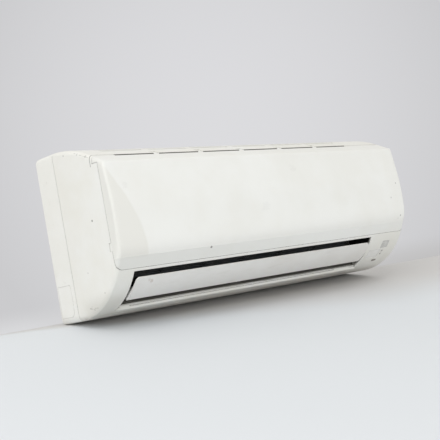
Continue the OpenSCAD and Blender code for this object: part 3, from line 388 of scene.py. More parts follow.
def scratch(m, first, last, width=0.0006, strength=0.7):
    """A broken scratch between two places, between 0 and its strength."""
    a, b = spot(*first), spot(*last)
    middle, half = (a + b) / 2, (b - a).length / 2
    towards = (b - a).normalized()
    off = m.vector("SUBTRACT", m.place(), middle)
    ahead, away = m.vector("DOT_PRODUCT", off, towards), m.vector("LENGTH", off)
    aside = m.minus(m.times(away, away), m.times(ahead, ahead))
    aside = m.calc("SQRT", m.calc("MAXIMUM", aside, 0.0))
    wander = m.calc("MULTIPLY_ADD", m.noise(0.008, 2), 4 * width, -2 * width)
    line = m.remap(m.calc("ABSOLUTE", m.calc("ADD", aside, wander)), width * 0.5, width, 1, 0)
    ends = m.remap(m.calc("ABSOLUTE", ahead), half * 0.8, half, 1, 0)
    broken = m.remap(m.noise(0.003, 3, 0.7), 0.42, 0.55, 0.1, strength)
    return m.times(m.times(line, ends), broken)


print("marks ready, in the tone", SPECK_GREY)

# %% [markdown]
# ## The hinged front panel
# The panel is the cleanest part. Its left end is painted a shade darker up to a curved line, as painted
# shade for a facet that catches less light. A dark fleck near the lower bend and a few rubbed spots at the
# right end are marks of use. Along its lower edge the panel turns inwards in a crease, and the strip below
# it is painted darker, most at the left, as dust and painted shade. The solid turns there more gently than
# the real sheet, so above the crease the shading lets go of most of the downward lean.

# %% Finish of the front panel
PANEL_WHITE = (0.800, 0.806, 0.782)
PANEL_AGED = (0.775, 0.776, 0.742)
# The left end, painted a shade darker where a facet catches less light.
SHADED_END = (0.745, 0.743, 0.705)
# The strip below the crease, darker as dust and painted shade.
CHAMFER_DUST_AND_SHADE = (0.62, 0.62, 0.585)
CREASE = 90.5
FACET_HEIGHTS = (88, 246)
FACET_LINE, FACET_BEND = -0.336, -0.063
BROW = (150, 170)
PANEL_MARKS = (
    ((-187.5, -189.9, 89), 0.0026, 0.9),
    ((379.6, -201.4, 174.3), 0.0022, 0.6),
    ((353.4, -201.1, 143.6), 0.0020, 0.45),
    ((381.2, -196.4, 102.7), 0.0022, 0.6),
    ((373, -194.6, 98.1), 0.0018, 0.5),
    ((-364.5, -198.3, 209.8), 0.007, 0.06),
    ((140, -199, 131), 0.0016, 0.4),
    ((-40, -201, 150), 0.012, 0.05),
    ((60, -201, 222), 0.010, 0.05),
)


def panel_finish():
    m, tone = moulded("panel_white", PANEL_WHITE, PANEL_AGED, 0.34)
    along = m.axes()
    # Painted shade on the left end, up to a curved line that moves with the height.
    height = m.rise(*FACET_HEIGHTS, smooth=False)
    line = m.calc("MULTIPLY_ADD", m.calc("POWER", height, 1.5), FACET_BEND, FACET_LINE)
    line = m.calc("ADD", line, m.times(m.noise(0.05, 2), 0.008))
    inside = m.remap(m.minus(line, along["X"]), -0.001, 0.006)
    tone = m.blend(m.times(inside, m.rise(84, 94)), tone, SHADED_END)
    # Dust and painted shade on the strip below the crease, most at the left.
    dusty = m.remap(along["X"], -0.36, 0.2, 0.32, 0.02)
    under = m.rise(CREASE + 0.5, CREASE - 0.5)
    tone = m.blend(m.times(dusty, under), tone, CHAMFER_DUST_AND_SHADE)
    crease(m)
    return m.join(Base_Color=marked(m, tone, PANEL_MARKS, SPECK_GREY))


def crease(m):
    """Takes the downward lean out of the shading in a band above the crease."""
    relief = m.shader.inputs["Normal"].links[0].from_node
    smooth = relief.inputs["Normal"].links[0].from_socket
    turn = {"vector_type": "NORMAL", "convert_from": "WORLD", "convert_to": "OBJECT"}
    turn_back = {"vector_type": "NORMAL", "convert_from": "OBJECT", "convert_to": "WORLD"}
    own = m.add("VectorTransform", {0: smooth}, **turn).outputs[0]
    keep = m.calc("MAXIMUM", m.minus(1.0, m.rise(CREASE - 0.8, CREASE + 0.8)), m.rise(*BROW))
    lean = m.add("CombineXYZ", {0: 1.0, 1: 1.0, 2: keep}).outputs[0]
    flatter = m.vector("NORMALIZE", m.vector("MULTIPLY", own, lean))
    m.feed(relief.inputs["Normal"], m.add("VectorTransform", {0: flatter}, **turn_back).outputs[0])


panel_white = panel_finish()
print("panel marks:", len(PANEL_MARKS))

# %% [markdown]
# ## The casing
# The casing shows the same plastic with more dirt: scratches along its upper left corner and flecks on the
# end face. Its underside carries a brown film and painted shade, it is darker towards the lower left
# corner, and the wall of the air slit is painted near black as painted shade.

# %% Finish of the casing
CASING_WHITE = (0.805, 0.806, 0.778)
CASING_AGED = (0.770, 0.764, 0.715)
UNDERSIDE_FILM_AND_SHADE = (0.40, 0.37, 0.31)
LOWER_LEFT_DARKER = (0.45, 0.43, 0.38)
SLIT_SHADE = (0.05, 0.046, 0.04)
SLIT_WALL, SLIT_FOOT = -0.1605, 250
CASING_MARKS = (
    ((-400, -139.1, 162.4), 0.0020, 0.95),
    ((-400, -102.9, 79), 0.0013, 0.7),
    ((-400, -93.8, 18.2), 0.0018, 0.6),
    ((-400, -98, 21), 0.0012, 0.5),
    ((-399.5, -104, 15.2), 0.0018, 0.6),
    ((-400, -140.4, 39.7), 0.0013, 0.6),
    ((-400, -89.2, 286), 0.0014, 0.8),
    ((-399.3, -128, 280), 0.0025, 0.35),
    ((-399.3, -150, 271), 0.0028, 0.35),
    ((388, -150, 52), 0.004, 0.2),
    ((350, -152, 35.5), 0.0040, 0.30),
    ((350, -145.1, 29.6), 0.0040, 0.28),
)
CASING_SCRATCHES = (
    ((-399.4, -118, 283.5), (-399.4, -132, 279)),
    ((-399.4, -133, 277.5), (-399.6, -158, 266.5)),
    ((-400, -90, 20), (-399.6, -108, 14)),
    ((-399.6, -104, 18), (-399, -118, 17)),
)


def casing_finish():
    m, tone = moulded("casing_white", CASING_WHITE, CASING_AGED, 0.38)
    tone = marked(m, tone, CASING_MARKS, SPECK_GREY)
    for first, last in CASING_SCRATCHES:
        tone = m.blend(scratch(m, first, last), tone, SPECK_GREY)
    along = m.axes()
    # A brown film and painted shade on the underside.
    underside_film_and_shade = m.remap(m.noise(0.012, 4, 0.6, stretch=(0.12, 1, 1)), 0.3, 0.7, 0.2, 0.55)
    tone = m.blend(m.times(m.rise(9, 3), underside_film_and_shade), tone, UNDERSIDE_FILM_AND_SHADE)
    # Darker at the lower front of the left end.
    corner = m.times(m.remap(along["X"], -0.340, -0.372), m.rise(46, 14))
    corner = m.times(corner, m.remap(along["Y"], -0.05, -0.11))
    tone = m.blend(m.times(corner, 0.42), tone, LOWER_LEFT_DARKER)
    # Painted shade: the wall of the air slit painted near black.
    slit = m.times(m.calc("COMPARE", along["Y"], SLIT_WALL, 0.0005),
                   m.calc("GREATER_THAN", along["Z"], level(SLIT_FOOT)))
    return m.join(Base_Color=m.blend(m.times(slit, 0.93), tone, SLIT_SHADE))


casing_white = casing_finish()
print("casing marks:", len(CASING_MARKS), "scratches:", len(CASING_SCRATCHES))

# %% [markdown]
# ## The louvre
# The louvre is touched and blown on every day. It is a shade darker, smeared along its length, and two
# pale brown stains have dried near its left end.

# %% Finish of the louvre
LOUVRE_WHITE = (0.79, 0.785, 0.765)
LOUVRE_AGED = (0.755, 0.742, 0.712)
SMEAR_BROWN = (0.50, 0.46, 0.42)
STAIN_BROWN = (0.42, 0.31, 0.25)
LOUVRE_STAINS = (((-319.8, -169.6, 46.2), 0.0045, 0.40), ((-326, -172, 49), 0.0035, 0.25))


def louvre_finish():
    m, tone = moulded("louvre_white", LOUVRE_WHITE, LOUVRE_AGED, 0.33)
    smear = m.remap(m.noise(0.012, 4, stretch=(0.25, 1, 1)), 0.52, 0.75, 0, 0.16)
    tone = m.blend(smear, tone, SMEAR_BROWN)
    return m.join(Base_Color=marked(m, tone, LOUVRE_STAINS, STAIN_BROWN))


louvre_white = louvre_finish()
print("louvre stains:", len(LOUVRE_STAINS))

# %% [markdown]
# ## The rear chassis
# The chassis at the back is of a cheaper plastic with a coarser grain, a shade creamier. Inside it, the
# guide behind the fan, the floor of the duct and the end walls are painted near black with a little lint,
# as painted shade for the dark inside of the duct, and a lighter grey where the floor nears the outlet
# stands for the light that reaches in there. The painted shade follows from the place alone: on the
# floor's plane, on the fan's guide or on the end walls.

# %% Finish of the chassis
CHASSIS_CREAM = (0.82, 0.822, 0.795)
CHASSIS_AGED = (0.79, 0.786, 0.745)
# Painted shade inside the duct: near black, with a little lint.
DUCT_SHADE_BLACK = (0.024, 0.023, 0.021)
DUCT_SHADE_LINT = (0.105, 0.10, 0.09)
# Painted light where the duct's floor nears the outlet.
OUTLET_LIT_GREY = (0.17, 0.163, 0.145)
HANDLED_BROWN = (0.33, 0.30, 0.25)
FAN_AXIS = spot(-35, -93, 106)
DUCT_HALF = 0.325
FLOOR_TOP = spot(0, -113.3, 17.2)
FLOOR_RISE = math.radians(42)
FLOOR_REACH = (0.0255, 0.0265)
GUIDE_RADIUS, GUIDE_GROWTH = 0.0562, 0.05 * MM * 180 / math.pi


def duct_shade_share(m):
    """One where the duct inside the chassis is painted with shade, and nothing elsewhere."""
    along = m.axes()
    back_from = m.minus(along["Y"], FLOOR_TOP.y)
    up_from = m.minus(along["Z"], FLOOR_TOP.z)
    rise = m.times(up_from, math.cos(FLOOR_RISE))
    height = m.calc("MULTIPLY_ADD", back_from, -math.sin(FLOOR_RISE), rise)
    reach = m.calc("MULTIPLY_ADD", up_from, math.sin(FLOOR_RISE), m.times(back_from, math.cos(FLOOR_RISE)))
    on_floor = m.times(m.calc("COMPARE", height, 0.0, 0.0009), m.calc("COMPARE", reach, *FLOOR_REACH))
    dy = m.minus(along["Y"], FAN_AXIS.y)
    dz = m.minus(along["Z"], FAN_AXIS.z)
    guide = m.calc("MULTIPLY_ADD", m.calc("ARCTAN2", dz, dy), -GUIDE_GROWTH, GUIDE_RADIUS)
    on_guide = m.calc("LESS_THAN", m.away(dz, dy), guide)
    in_length = m.calc("COMPARE", along["X"], FAN_AXIS.x, DUCT_HALF - 0.0001)
    cheek = m.calc("ABSOLUTE", m.minus(along["X"], FAN_AXIS.x))
    cheek = m.times(m.calc("COMPARE", cheek, DUCT_HALF, 0.0004), m.calc("LESS_THAN", along["Y"], -0.05))
    inner = m.times(m.calc("MAXIMUM", on_floor, on_guide), in_length)
    return m.calc("MAXIMUM", inner, cheek)


def chassis_finish():
    m, tone = moulded("chassis_cream", CHASSIS_CREAM, CHASSIS_AGED, 0.48, 0.0016, 0.00004)
    lint = m.remap(m.noise(0.006, 6, 0.75), 0.35, 0.75)
    # The duct painted with shade, lighter near the outlet.
    near_outlet = m.remap(m.axes()["Y"], -0.095, -0.112, 0, 0.8)
    duct_shade = m.blend(near_outlet, m.blend(lint, DUCT_SHADE_BLACK, DUCT_SHADE_LINT), OUTLET_LIT_GREY)
    tone = m.blend(duct_shade_share(m), tone, duct_shade)
    handled = m.remap(m.noise(0.02, 5, 0.7), 0.58, 0.75, 0, 0.18)
    return m.join(Base_Color=m.blend(handled, tone, HANDLED_BROWN))


chassis_cream = chassis_finish()
print("painted_duct_shade reaches", round(FLOOR_TOP.z - level(0), 4), "m above the underside")

# %% [markdown]
# ## Black mouldings and the fan
# The vanes and the pan that closes the duct above them are black plastic under patches of grey lint. The
# electrical box is of a flame-proof plastic, a little greyer and glossier. The rubber parts and the grey
# fan, on which most of the dust lies, come from the same function.

# %% Finish of the black mouldings
DUSTY_IOR = 1.3


def black_moulding(name, deep, lint_tone, gloss, lint_share):
    m = Finish(name)
    where = m.place()
    lint = m.noise(0.004, 6, 0.75, at=where)
    cloud = m.noise(0.05, 3, at=where)
    cover = m.times(m.remap(lint, 0.4, 0.75), m.remap(cloud, 0.3, 0.7, 0.2, 1.0))
    tone = m.blend(m.times(cover, lint_share), deep, lint_tone)
    rough = m.calc("MULTIPLY_ADD", cover, 0.35, gloss)
    edge = m.add("Bevel", {"Radius": 0.0003}, samples=4).outputs[0]
    relief = m.bump(lint, 0.00012, edge)
    return m.join(Base_Color=tone, Roughness=rough, Normal=relief, IOR=DUSTY_IOR)


vane_black = black_moulding("vane_black", (0.009, 0.0085, 0.0075), (0.10, 0.095, 0.08), 0.5, 0.35)
pan_black = black_moulding("pan_black", (0.007, 0.0065, 0.0055), (0.08, 0.075, 0.065), 0.55, 0.35)
box_black = black_moulding("box_black", (0.035, 0.036, 0.038), (0.18, 0.175, 0.165), 0.33, 0.3)
rubber_black = black_moulding("rubber_black", (0.025, 0.025, 0.025), (0.10, 0.098, 0.09), 0.62, 0.4)
fan_grey = black_moulding("fan_grey", (0.115, 0.125, 0.135), (0.34, 0.32, 0.28), 0.45, 0.7)
print("black mouldings ready")

# %% [markdown]
# ## Filters
# The filters are frames of a grey-blue plastic with a fine net moulded into them. Drawing a thousand real
# threads would cost too much for what it shows, so the net's weave is two crossing sets of stripes, which
# steer the relief and how much light passes through.

# %% Finish of the filters
NET_PITCH = 1.3 * MM
NET_OPEN = 0.30
NET_BEND = (236, 246)


def stripes(m, value, pitch):
    """Soft ridges at a given pitch along one coordinate, between 0 and 1."""
    wave = m.calc("SINE", m.times(value, 2 * math.pi / pitch))
    return m.calc("MULTIPLY_ADD", wave, 0.5, 0.5)


def net_finish():
    m = Finish("filter_net")
    along = m.axes()
    up = m.add("Mix", {0: m.rise(*NET_BEND), 2: along["Z"], 3: along["Y"]}).outputs[0]
    threads = m.calc("MAXIMUM", stripes(m, along["X"], NET_PITCH), stripes(m, up, NET_PITCH))
    thread = m.remap(threads, 0.72, 0.9)
    lint = m.remap(m.noise(0.03, 5, 0.7), 0.4, 0.7)
    tone = m.blend(lint, (0.105, 0.125, 0.15), (0.30, 0.29, 0.27))
    solid = m.calc("MAXIMUM", thread, m.times(lint, 0.45))
    return m.join(Base_Color=tone, Roughness=0.7, Alpha=m.remap(solid, 0, 1, NET_OPEN, 1.0),
                  Normal=m.bump(thread, 0.0002))


filter_net = net_finish()
filter_blue = moulded("filter_blue", (0.30, 0.35, 0.42), (0.27, 0.31, 0.36), 0.42)[0].material
print("net pitch:", NET_PITCH)

# %% [markdown]
# ## Fins
# The heat exchanger is hundreds of thin aluminium fins on copper tubes. Its solids carry only coarse
# grooves, so stripes at the real fin pitch are cut into their relief, with painted shade in the gaps
# between the fins and lint in them.

# %% Finish of the fins
FIN_PITCH = 1.4 * MM


def fin_finish():
    m = Finish("fin_aluminium")
    along = m.axes()
    ridge = stripes(m, along["X"], FIN_PITCH)
    lint = m.remap(m.noise(0.02, 6, 0.75), 0.48, 0.72)
    metal = m.blend(m.noise(0.06, 2), (0.74, 0.76, 0.78), (0.60, 0.63, 0.66))
    gap = m.remap(ridge, 0.15, 0.6)
    # Painted shade in the gaps between the fins.
    tone = m.blend(gap, (0.035, 0.036, 0.038), metal)
    tone = m.blend(m.times(lint, 0.5), tone, (0.28, 0.26, 0.23))
    shine = m.times(gap, m.remap(lint, 0, 1, 0.95, 0.3))
    return m.join(Base_Color=tone, Metallic=shine, Roughness=0.4, Normal=m.bump(ridge, 0.0004))


fin_aluminium = fin_finish()
print("fin pitch:", FIN_PITCH)

# %% [markdown]
# ## Copper
# The tubes have browned with handling and have a pale ring of solder at each joint. The brass flare nuts
# are one solid with their pipes, so they follow from the place: outside the pipe, between two ends.

# %% Finish of the tubes and pipes
SOLDER_AT, SOLDER_HALF = (0.269, -0.355), 0.0022
SOLDER_GREY = (0.66, 0.60, 0.50)
NUT_CLEARANCE = 0.0004
GAS_PIPE, GAS_RADIUS = spot(0, -18.5, 46), 0.00476
LIQUID_PIPE, LIQUID_RADIUS = spot(0, -9.5, 26), 0.00318


def copper_finish(name, nut=None):
    """Copper. A nut is given as its ends along the unit, its middle and the pipe's radius."""
    m = Finish(name)
    along = m.axes()
    cloud = m.noise(0.02, 5, 0.65)
    tone = m.blend(m.remap(cloud, 0.35, 0.7), (0.83, 0.46, 0.31), (0.42, 0.20, 0.12))
    for joint in SOLDER_AT:
        ring = m.remap(m.calc("COMPARE", along["X"], joint, SOLDER_HALF), 0, 1)
        tone = m.blend(ring, tone, SOLDER_GREY)
    if nut:
        first, last, middle, radius = nut
        dy = m.minus(along["Y"], middle.y)
        dz = m.minus(along["Z"], middle.z)
        outside = m.calc("GREATER_THAN", m.away(dz, dy), radius + NUT_CLEARANCE)
        inside = m.calc("COMPARE", along["X"], (first + last) / 2 * MM, (last - first) / 2 * MM)
        worn = m.blend(m.noise(0.006, 4), (0.78, 0.62, 0.33), (0.55, 0.41, 0.20))
        tone = m.blend(m.times(outside, inside), tone, worn)
    rough = m.remap(cloud, 0.3, 0.7, 0.26, 0.5)
    grain = m.bump(m.noise(0.0012, 3), 0.00003)
    return m.join(Base_Color=tone, Roughness=rough, Metallic=1.0, Normal=grain)


copper = copper_finish("copper")
gas_copper = copper_finish("gas_copper", (-62, -44, GAS_PIPE, GAS_RADIUS))
liquid_copper = copper_finish("liquid_copper", (-22, -4, LIQUID_PIPE, LIQUID_RADIUS))
print("solder rings:", len(SOLDER_AT))

# %% [markdown]
# ## Plated and turned metal
# Plated sheet shows the flower pattern of zinc, which cells of a Voronoi texture copy well. Shafts and the
# bearing are turned, so fine rings run round them and some oil darkens them.

# %% Finish of sheets, screws and shafts
def zinc_finish(name, base, flower, shade=0.14, rough=0.36):
    """Plated sheet with zinc flowers of a given size."""
    m = Finish(name)
    cells = m.add("TexVoronoi", {"Vector": m.place(), "Scale": 1 / flower})
    mood = m.add("SeparateColor", {0: cells.outputs["Color"]}).outputs[0]
    darker = tuple(c * (1 - shade * 2) for c in base)
    tone = m.blend(mood, darker, base)
    dull = m.remap(m.noise(0.03, 4), 0.45, 0.75, 0, 0.5)
    tone = m.blend(dull, tone, (0.42, 0.42, 0.40))
    brushed = m.noise(0.004, 3, stretch=(0.06, 1, 1))
    gloss = m.remap(mood, 0, 1, rough - 0.08, rough + 0.1, False)
    return m.join(Base_Color=tone, Metallic=0.95, Roughness=gloss, Normal=m.bump(brushed, 0.00004))


def turned_finish(name, base, rough=0.22):
    """Turned or ground metal with fine rings across its length."""
    m = Finish(name)
    rings = m.noise(0.0006, 3, stretch=(1, 0.08, 0.08))
    oil = m.noise(0.01, 4)
    dark = tuple(c * 0.6 for c in base)
    tone = m.blend(m.remap(oil, 0.45, 0.75, 0, 0.7), base, dark)
    gloss = m.remap(oil, 0.3, 0.7, rough, rough + 0.18)
    return m.join(Base_Color=tone, Metallic=1.0, Roughness=gloss, Normal=m.bump(rings, 0.00002))


galvanised = zinc_finish("galvanised", (0.70, 0.72, 0.74), 0.009)
plated = zinc_finish("plated", (0.66, 0.66, 0.62), 0.0015, 0.05, 0.3)
steel = turned_finish("shaft_steel", (0.62, 0.62, 0.64))
bronze = turned_finish("bearing_bronze", (0.55, 0.40, 0.22), 0.4)
print("plated and turned metals ready")

# %% [markdown]
# ## Motors
# The fan motor is potted in pale resin with a seam round its middle. The small louvre motor is a plated
# can with a blue cap for its wires.

# %% Finish of the motors
MOTOR_SEAM = 0.324
CAP_FOOT = 53.7
CAP_BLUE = (0.06, 0.16, 0.42)


def motor_finish():
    m = Finish("motor_resin")
    along = m.axes()
    cloud = m.noise(0.012, 5, 0.7)
    tone = m.blend(m.remap(cloud, 0.35, 0.7), (0.56, 0.56, 0.52), (0.45, 0.44, 0.40))
    seam = m.calc("COMPARE", along["X"], MOTOR_SEAM, 0.0005)
    tone = m.blend(seam, tone, (0.14, 0.135, 0.12))
    relief = m.minus(m.noise(0.0009, 3), seam)
    return m.join(Base_Color=tone, Roughness=0.55, Normal=m.bump(relief, 0.00015))


def louvre_motor_finish():
    m = Finish("louvre_motor")
    cap = m.calc("GREATER_THAN", m.axes()["Z"], level(CAP_FOOT))
    stained = m.blend(m.noise(0.004, 4), (0.62, 0.62, 0.60), (0.48, 0.48, 0.46))
    tone = m.blend(cap, stained, CAP_BLUE)
    skin = m.bump(m.noise(0.0006, 3), 0.00003)
    return m.join(Base_Color=tone, Metallic=m.minus(1.0, cap), Roughness=0.34, Normal=skin)


motor_resin = motor_finish()
louvre_motor = louvre_motor_finish()
print("motors ready")

# %% [markdown]
# ## Boards and terminal block
# The boards are green lacquer over copper tracks. What stands on them takes its colour from where it
# stands, because board and components are one solid here.

# %% Finish of the boards and the terminal block
BOARD_GREEN = (0.035, 0.16, 0.07)
TRACK_GREEN = (0.07, 0.26, 0.11)
TIN_GREY = (0.55, 0.55, 0.52)
LID_GREY = (0.6, 0.6, 0.58)
BOARD_FACE, TALL_PARTS = 0.3929, 0.3732
COIL_YELLOW, CAPACITOR_BLUE = (0.45, 0.36, 0.06), (0.025, 0.04, 0.11)
COILS_FROM, CHIP_AT, CHIP_HALF = -0.066, -0.046, 0.006
DISPLAY_TILT = math.radians(39)
DISPLAY_OUT = Vector((0, -math.sin(DISPLAY_TILT), -math.cos(DISPLAY_TILT)))
LOWER_CENTRE, LOWER_RADIUS = spot(0, -60, 137), 0.137
BOARD_BEHIND = 0.0119
RECEIVER_FROM = 0.3441
TERMINAL_SCREWS = 158


def lacquer(m):
    """Green board with lighter tracks and rows of solder points."""
    tracks = m.add("TexBrick", {"Vector": m.place(), "Scale": 150.0, "Mortar Size": 0.035})
    tone = m.blend(tracks.outputs["Fac"], BOARD_GREEN, TRACK_GREEN)
    points = m.add("TexVoronoi", {"Vector": m.place(), "Scale": 190.0}).outputs["Distance"]
    return m.blend(m.calc("LESS_THAN", points, 0.16), tone, TIN_GREY)


def control_board_finish():
    m = Finish("control_board")
    along = m.axes()
    raised = m.calc("LESS_THAN", along["X"], BOARD_FACE)
    stands = m.blend(m.calc("GREATER_THAN", along["Y"], COILS_FROM), CAPACITOR_BLUE, COIL_YELLOW)
    stands = m.blend(m.calc("COMPARE", along["Y"], CHIP_AT, CHIP_HALF), stands, (0.05, 0.05, 0.05))
    top = m.calc("LESS_THAN", along["X"], TALL_PARTS)
    stands = m.blend(m.times(top, 0.7), stands, LID_GREY)
    dust = m.remap(m.noise(0.005, 5), 0.4, 0.8, 0, 0.4)
    tone = m.blend(dust, m.blend(raised, lacquer(m), stands), (0.3, 0.29, 0.26))
    return m.join(Base_Color=tone, Roughness=0.42, Normal=m.bump(m.noise(0.002, 3), 0.00008))


def display_board_finish():
    m = Finish("display_board")
    front = DISPLAY_OUT.dot(LOWER_CENTRE) + LOWER_RADIUS - BOARD_BEHIND
    raised = m.calc("GREATER_THAN", m.vector("DOT_PRODUCT", m.place(), DISPLAY_OUT), front)
    receiver = m.calc("GREATER_THAN", m.axes()["X"], RECEIVER_FROM)
    holder = m.blend(receiver, (0.72, 0.72, 0.70), (0.05, 0.045, 0.05))
    tone = m.blend(raised, lacquer(m), holder)
    return m.join(Base_Color=tone, Roughness=0.4, Normal=m.bump(m.noise(0.002, 3), 0.00008))


def terminal_finish():
    m = Finish("terminal_block")
    screws = m.calc("COMPARE", m.axes()["Z"], level(TERMINAL_SCREWS), 0.0002)
    tone = m.blend(m.noise(0.01, 4), (0.62, 0.52, 0.33), (0.52, 0.43, 0.27))
    tone = m.blend(screws, tone, LID_GREY)
    skin = m.bump(m.noise(0.0012, 3), 0.00006)
    return m.join(Base_Color=tone, Metallic=screws, Roughness=0.45, Normal=skin)


control_green = control_board_finish()
display_green = display_board_finish()
terminal_tan = terminal_finish()
print("boards ready")

# %% [markdown]
# ## Window, lenses and button
# These small parts are polished. The cover of the lamps nearly matches the casing and shows only by its
# gloss and its fine joint, while the receiver is a greyer, slightly clouded plastic.

# %% Finish of the small polished parts
def polished(name, base, worn, gloss=0.12):
    m = Finish(name)
    cloud = m.noise(0.01, 4)
    rubbed = m.noise(0.002, 4, 0.7, stretch=(0.15, 1, 1))
    tone = m.blend(m.remap(cloud, 0.35, 0.7), base, worn)
    rough = m.remap(rubbed, 0.3, 0.8, gloss, gloss + 0.25)
    return m.join(Base_Color=tone, Roughness=rough, Normal=m.bump(rubbed, 0.00001), Coat_Weight=0.4)


window_white = polished("window_white", (0.79, 0.79, 0.77), (0.755, 0.752, 0.725))
receiver_grey = polished("receiver_grey", (0.60, 0.60, 0.575), (0.52, 0.52, 0.50))
lens_grey = polished("lens_grey", (0.24, 0.245, 0.24), (0.17, 0.175, 0.17))
button_grey = polished("button_grey", (0.19, 0.175, 0.15), (0.13, 0.12, 0.10), 0.25)
print("polished parts ready")

# %% [markdown]
# ## Give each part its finish
# One table pairs the finishes with the parts. The script stops if a part was forgotten.

# %% Hand out the finishes
FINISHES = (
    (casing_white, "front_casing"),
    (panel_white, "front_panel"),
    (louvre_white, "flap"),
    (chassis_cream, "rear_chassis pipe_cover_left pipe_cover_right pipe_clamp"),
    (vane_black, "vane_link_left vane_link_right vane_rail_left vane_rail_right "
                 + " ".join("vane_%d" % n for n in range(1, 11))),
    (pan_black, "drain_pan"),
    (box_black, "control_box control_box_cover"),
    (rubber_black, "bearing_rubber drain_plug"),
    (fan_grey, "fan_rotor"),
    (filter_net, "filter_net_left filter_net_right"),
    (filter_blue, "filter_frame_left filter_frame_right"),
    (fin_aluminium, "fin_pack_front fin_pack_middle fin_pack_rear"),
    (copper, "evaporator_tubes return_bends_left return_bends_right"),
    (gas_copper, "gas_pipe"),
    (liquid_copper, "liquid_pipe"),
    (galvanised, "mounting_plate tube_plate_left tube_plate_right motor_strap"),
    (plated, "casing_screws"),
    (steel, "fan_stub_shaft motor_shaft flap_motor_shaft"),
    (bronze, "fan_bearing"),
    (motor_resin, "fan_motor"),
    (louvre_motor, "flap_motor"),
    (control_green, "control_board"),
    (display_green, "display_board"),
    (terminal_tan, "terminal_block"),
    (window_white, "display_window"),
    (receiver_grey, "receiver_window"),
    (lens_grey, "lamp_lenses"),
    (button_grey, "test_button"),
)
painted = set()
for material, names in FINISHES:
    for name in names.split():
        parts[name].data.materials.clear()
        parts[name].data.materials.append(material)
        painted.add(name)
assert painted == set(parts), painted ^ set(parts)
print("finished parts:", len(painted))

# %% [markdown]
# ## Screws
# Two screws hold the casing, sunk behind the panel. A plain cylinder never looks like a screw, so each is
# turned from an outline with a domed head and a ridged shank.

# %% Turn an outline
SCREW_STEPS = 28


def turned(name, outline, place_at):
    """A body of revolution about the wall's direction, from depths and radii in millimetres."""
    angles = [2 * math.pi * k / SCREW_STEPS for k in range(SCREW_STEPS)]
    corners = [place_at + Vector((radius * math.cos(a), depth, radius * math.sin(a))) * MM
               for depth, radius in outline for a in angles]
    last, faces = (len(outline) - 1) * SCREW_STEPS, []
    for near in range(0, last, SCREW_STEPS):
        far = near + SCREW_STEPS
        for k in range(SCREW_STEPS):
            after = (k + 1) % SCREW_STEPS
            faces.append((near + k, near + after, far + after, far + k))
    faces.append(tuple(range(SCREW_STEPS)))
    faces.append(tuple(reversed(range(last, last + SCREW_STEPS))))
    return mesh_piece(name, corners, faces)


print("corners round a screw:", SCREW_STEPS)

# %% [markdown]
# ## The cross in the head
# A driver's cross is two bars that get narrower into the head. The boolean draws their outline on the
# head but doesn't sink them in, so the recess itself is missing. The faces round the turned body look
# inwards and its two end faces outwards.

# %% Draw the cross and place the screws
RECESS_ARM, RECESS_WIDTH = 2.3, 0.36
RECESS_TAPER, RECESS_LIFT = 0.55, 0.15
HEAD = [(0.0, 0.6), (0.05, 1.9), (0.25, 2.9), (0.6, 3.5), (1.1, 3.75), (1.75, 3.75), (1.8, 3.3), (1.8, 1.5)]
RIDGE, THREAD_PITCH = ((2.0, 1.5), (2.55, 1.2)), 1.15
TIP = [(12.9, 0.5)]
SCREWS = (("left", spot(-368, -183, 95)), ("right", spot(298, -183, 95)))


def cross_cutter(place_at):
    """Two crossed bars that taper into the head."""
    built = bmesh.new()
    for wide, tall in ((RECESS_ARM, RECESS_WIDTH), (RECESS_WIDTH, RECESS_ARM)):
        for corner in bmesh.ops.create_cube(built, size=2)["verts"]:
            x, y, z = corner.co
            taper = 1.0 if y < 0 else RECESS_TAPER
            corner.co = place_at + Vector((x * wide * taper, y - RECESS_LIFT, z * tall * taper)) * MM
    mesh = bpy.data.meshes.new("cross_cutter")
    built.to_mesh(mesh)
    built.free()
    return new_object("cross_cutter", mesh)


def carve(piece, cutter):
    """Runs the boolean between a piece and its cutter, and deletes the cutter."""
    cut = piece.modifiers.new("cut", "BOOLEAN")
    cut.operation, cut.solver, cut.object = "DIFFERENCE", "EXACT", cutter
    shape = bpy.data.meshes.new_from_object(piece.evaluated_get(bpy.context.evaluated_depsgraph_get()))
    piece.modifiers.clear()
    piece.data = shape
    bpy.data.objects.remove(cutter)


ridges = [(depth + THREAD_PITCH * n, radius) for n in range(9) for depth, radius in RIDGE]
for side, at in SCREWS:
    screw = turned("casing_screw_" + side, HEAD + ridges + TIP, at)
    bpy.context.view_layer.update()
    carve(screw, cross_cutter(at))
    screw.data.materials.append(plated)
    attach(screw, "unit")
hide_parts("casing_screws")

# %% [markdown]
# ## Lip of the outlet and hinge caps
# Under the louvre the real casing ends in a small bar with a groove along it, which catches the light, and
# a plain cover over each end. Behind the panel's top edge a cap closes the air slit over every hinge arm.
# All of them are one outline each, drawn in millimetres from the wall and above the underside, and swept
# along the unit. Towards its ends an outline shrinks into the wall behind it.

# %% Sweep the lip and the caps
END_SHRINK = ((0.0, 0.25), (0.6, 0.62), (1.5, 0.88), (3.0, 1.0))


def ring_faces(near, far, n):
    """Faces between two rings of corners, given by the first corner of each."""
    return [(near + i, far + i, far + (i + 1) % n, near + (i + 1) % n) for i in range(n)]


def swept(name, outline, first, last, towards):
    """A solid swept along the unit, with ends that shrink towards a point of its section."""
    stations = [(first + along, share) for along, share in END_SHRINK]
    stations += [(last - along, share) for along, share in reversed(END_SHRINK)]
    foot, top = towards
    corners = [spot(x, foot + (y - foot) * share, top + (z - top) * share)
               for x, share in stations for y, z in outline]
    n, end = len(outline), (len(stations) - 1) * len(outline)
    faces = [tuple(range(n)), tuple(reversed(range(end, end + n)))]
    for near in range(0, end, n):
        faces += ring_faces(near, near + n, n)
    made = mesh_piece(name, corners, faces)
    built = bmesh.new()
    built.from_mesh(made.data)
    bmesh.ops.recalc_face_normals(built, faces=built.faces)
    built.to_mesh(made.data)
    built.free()
    made.modifiers.new("smooth", "NODES").node_group = smoothing
    return made


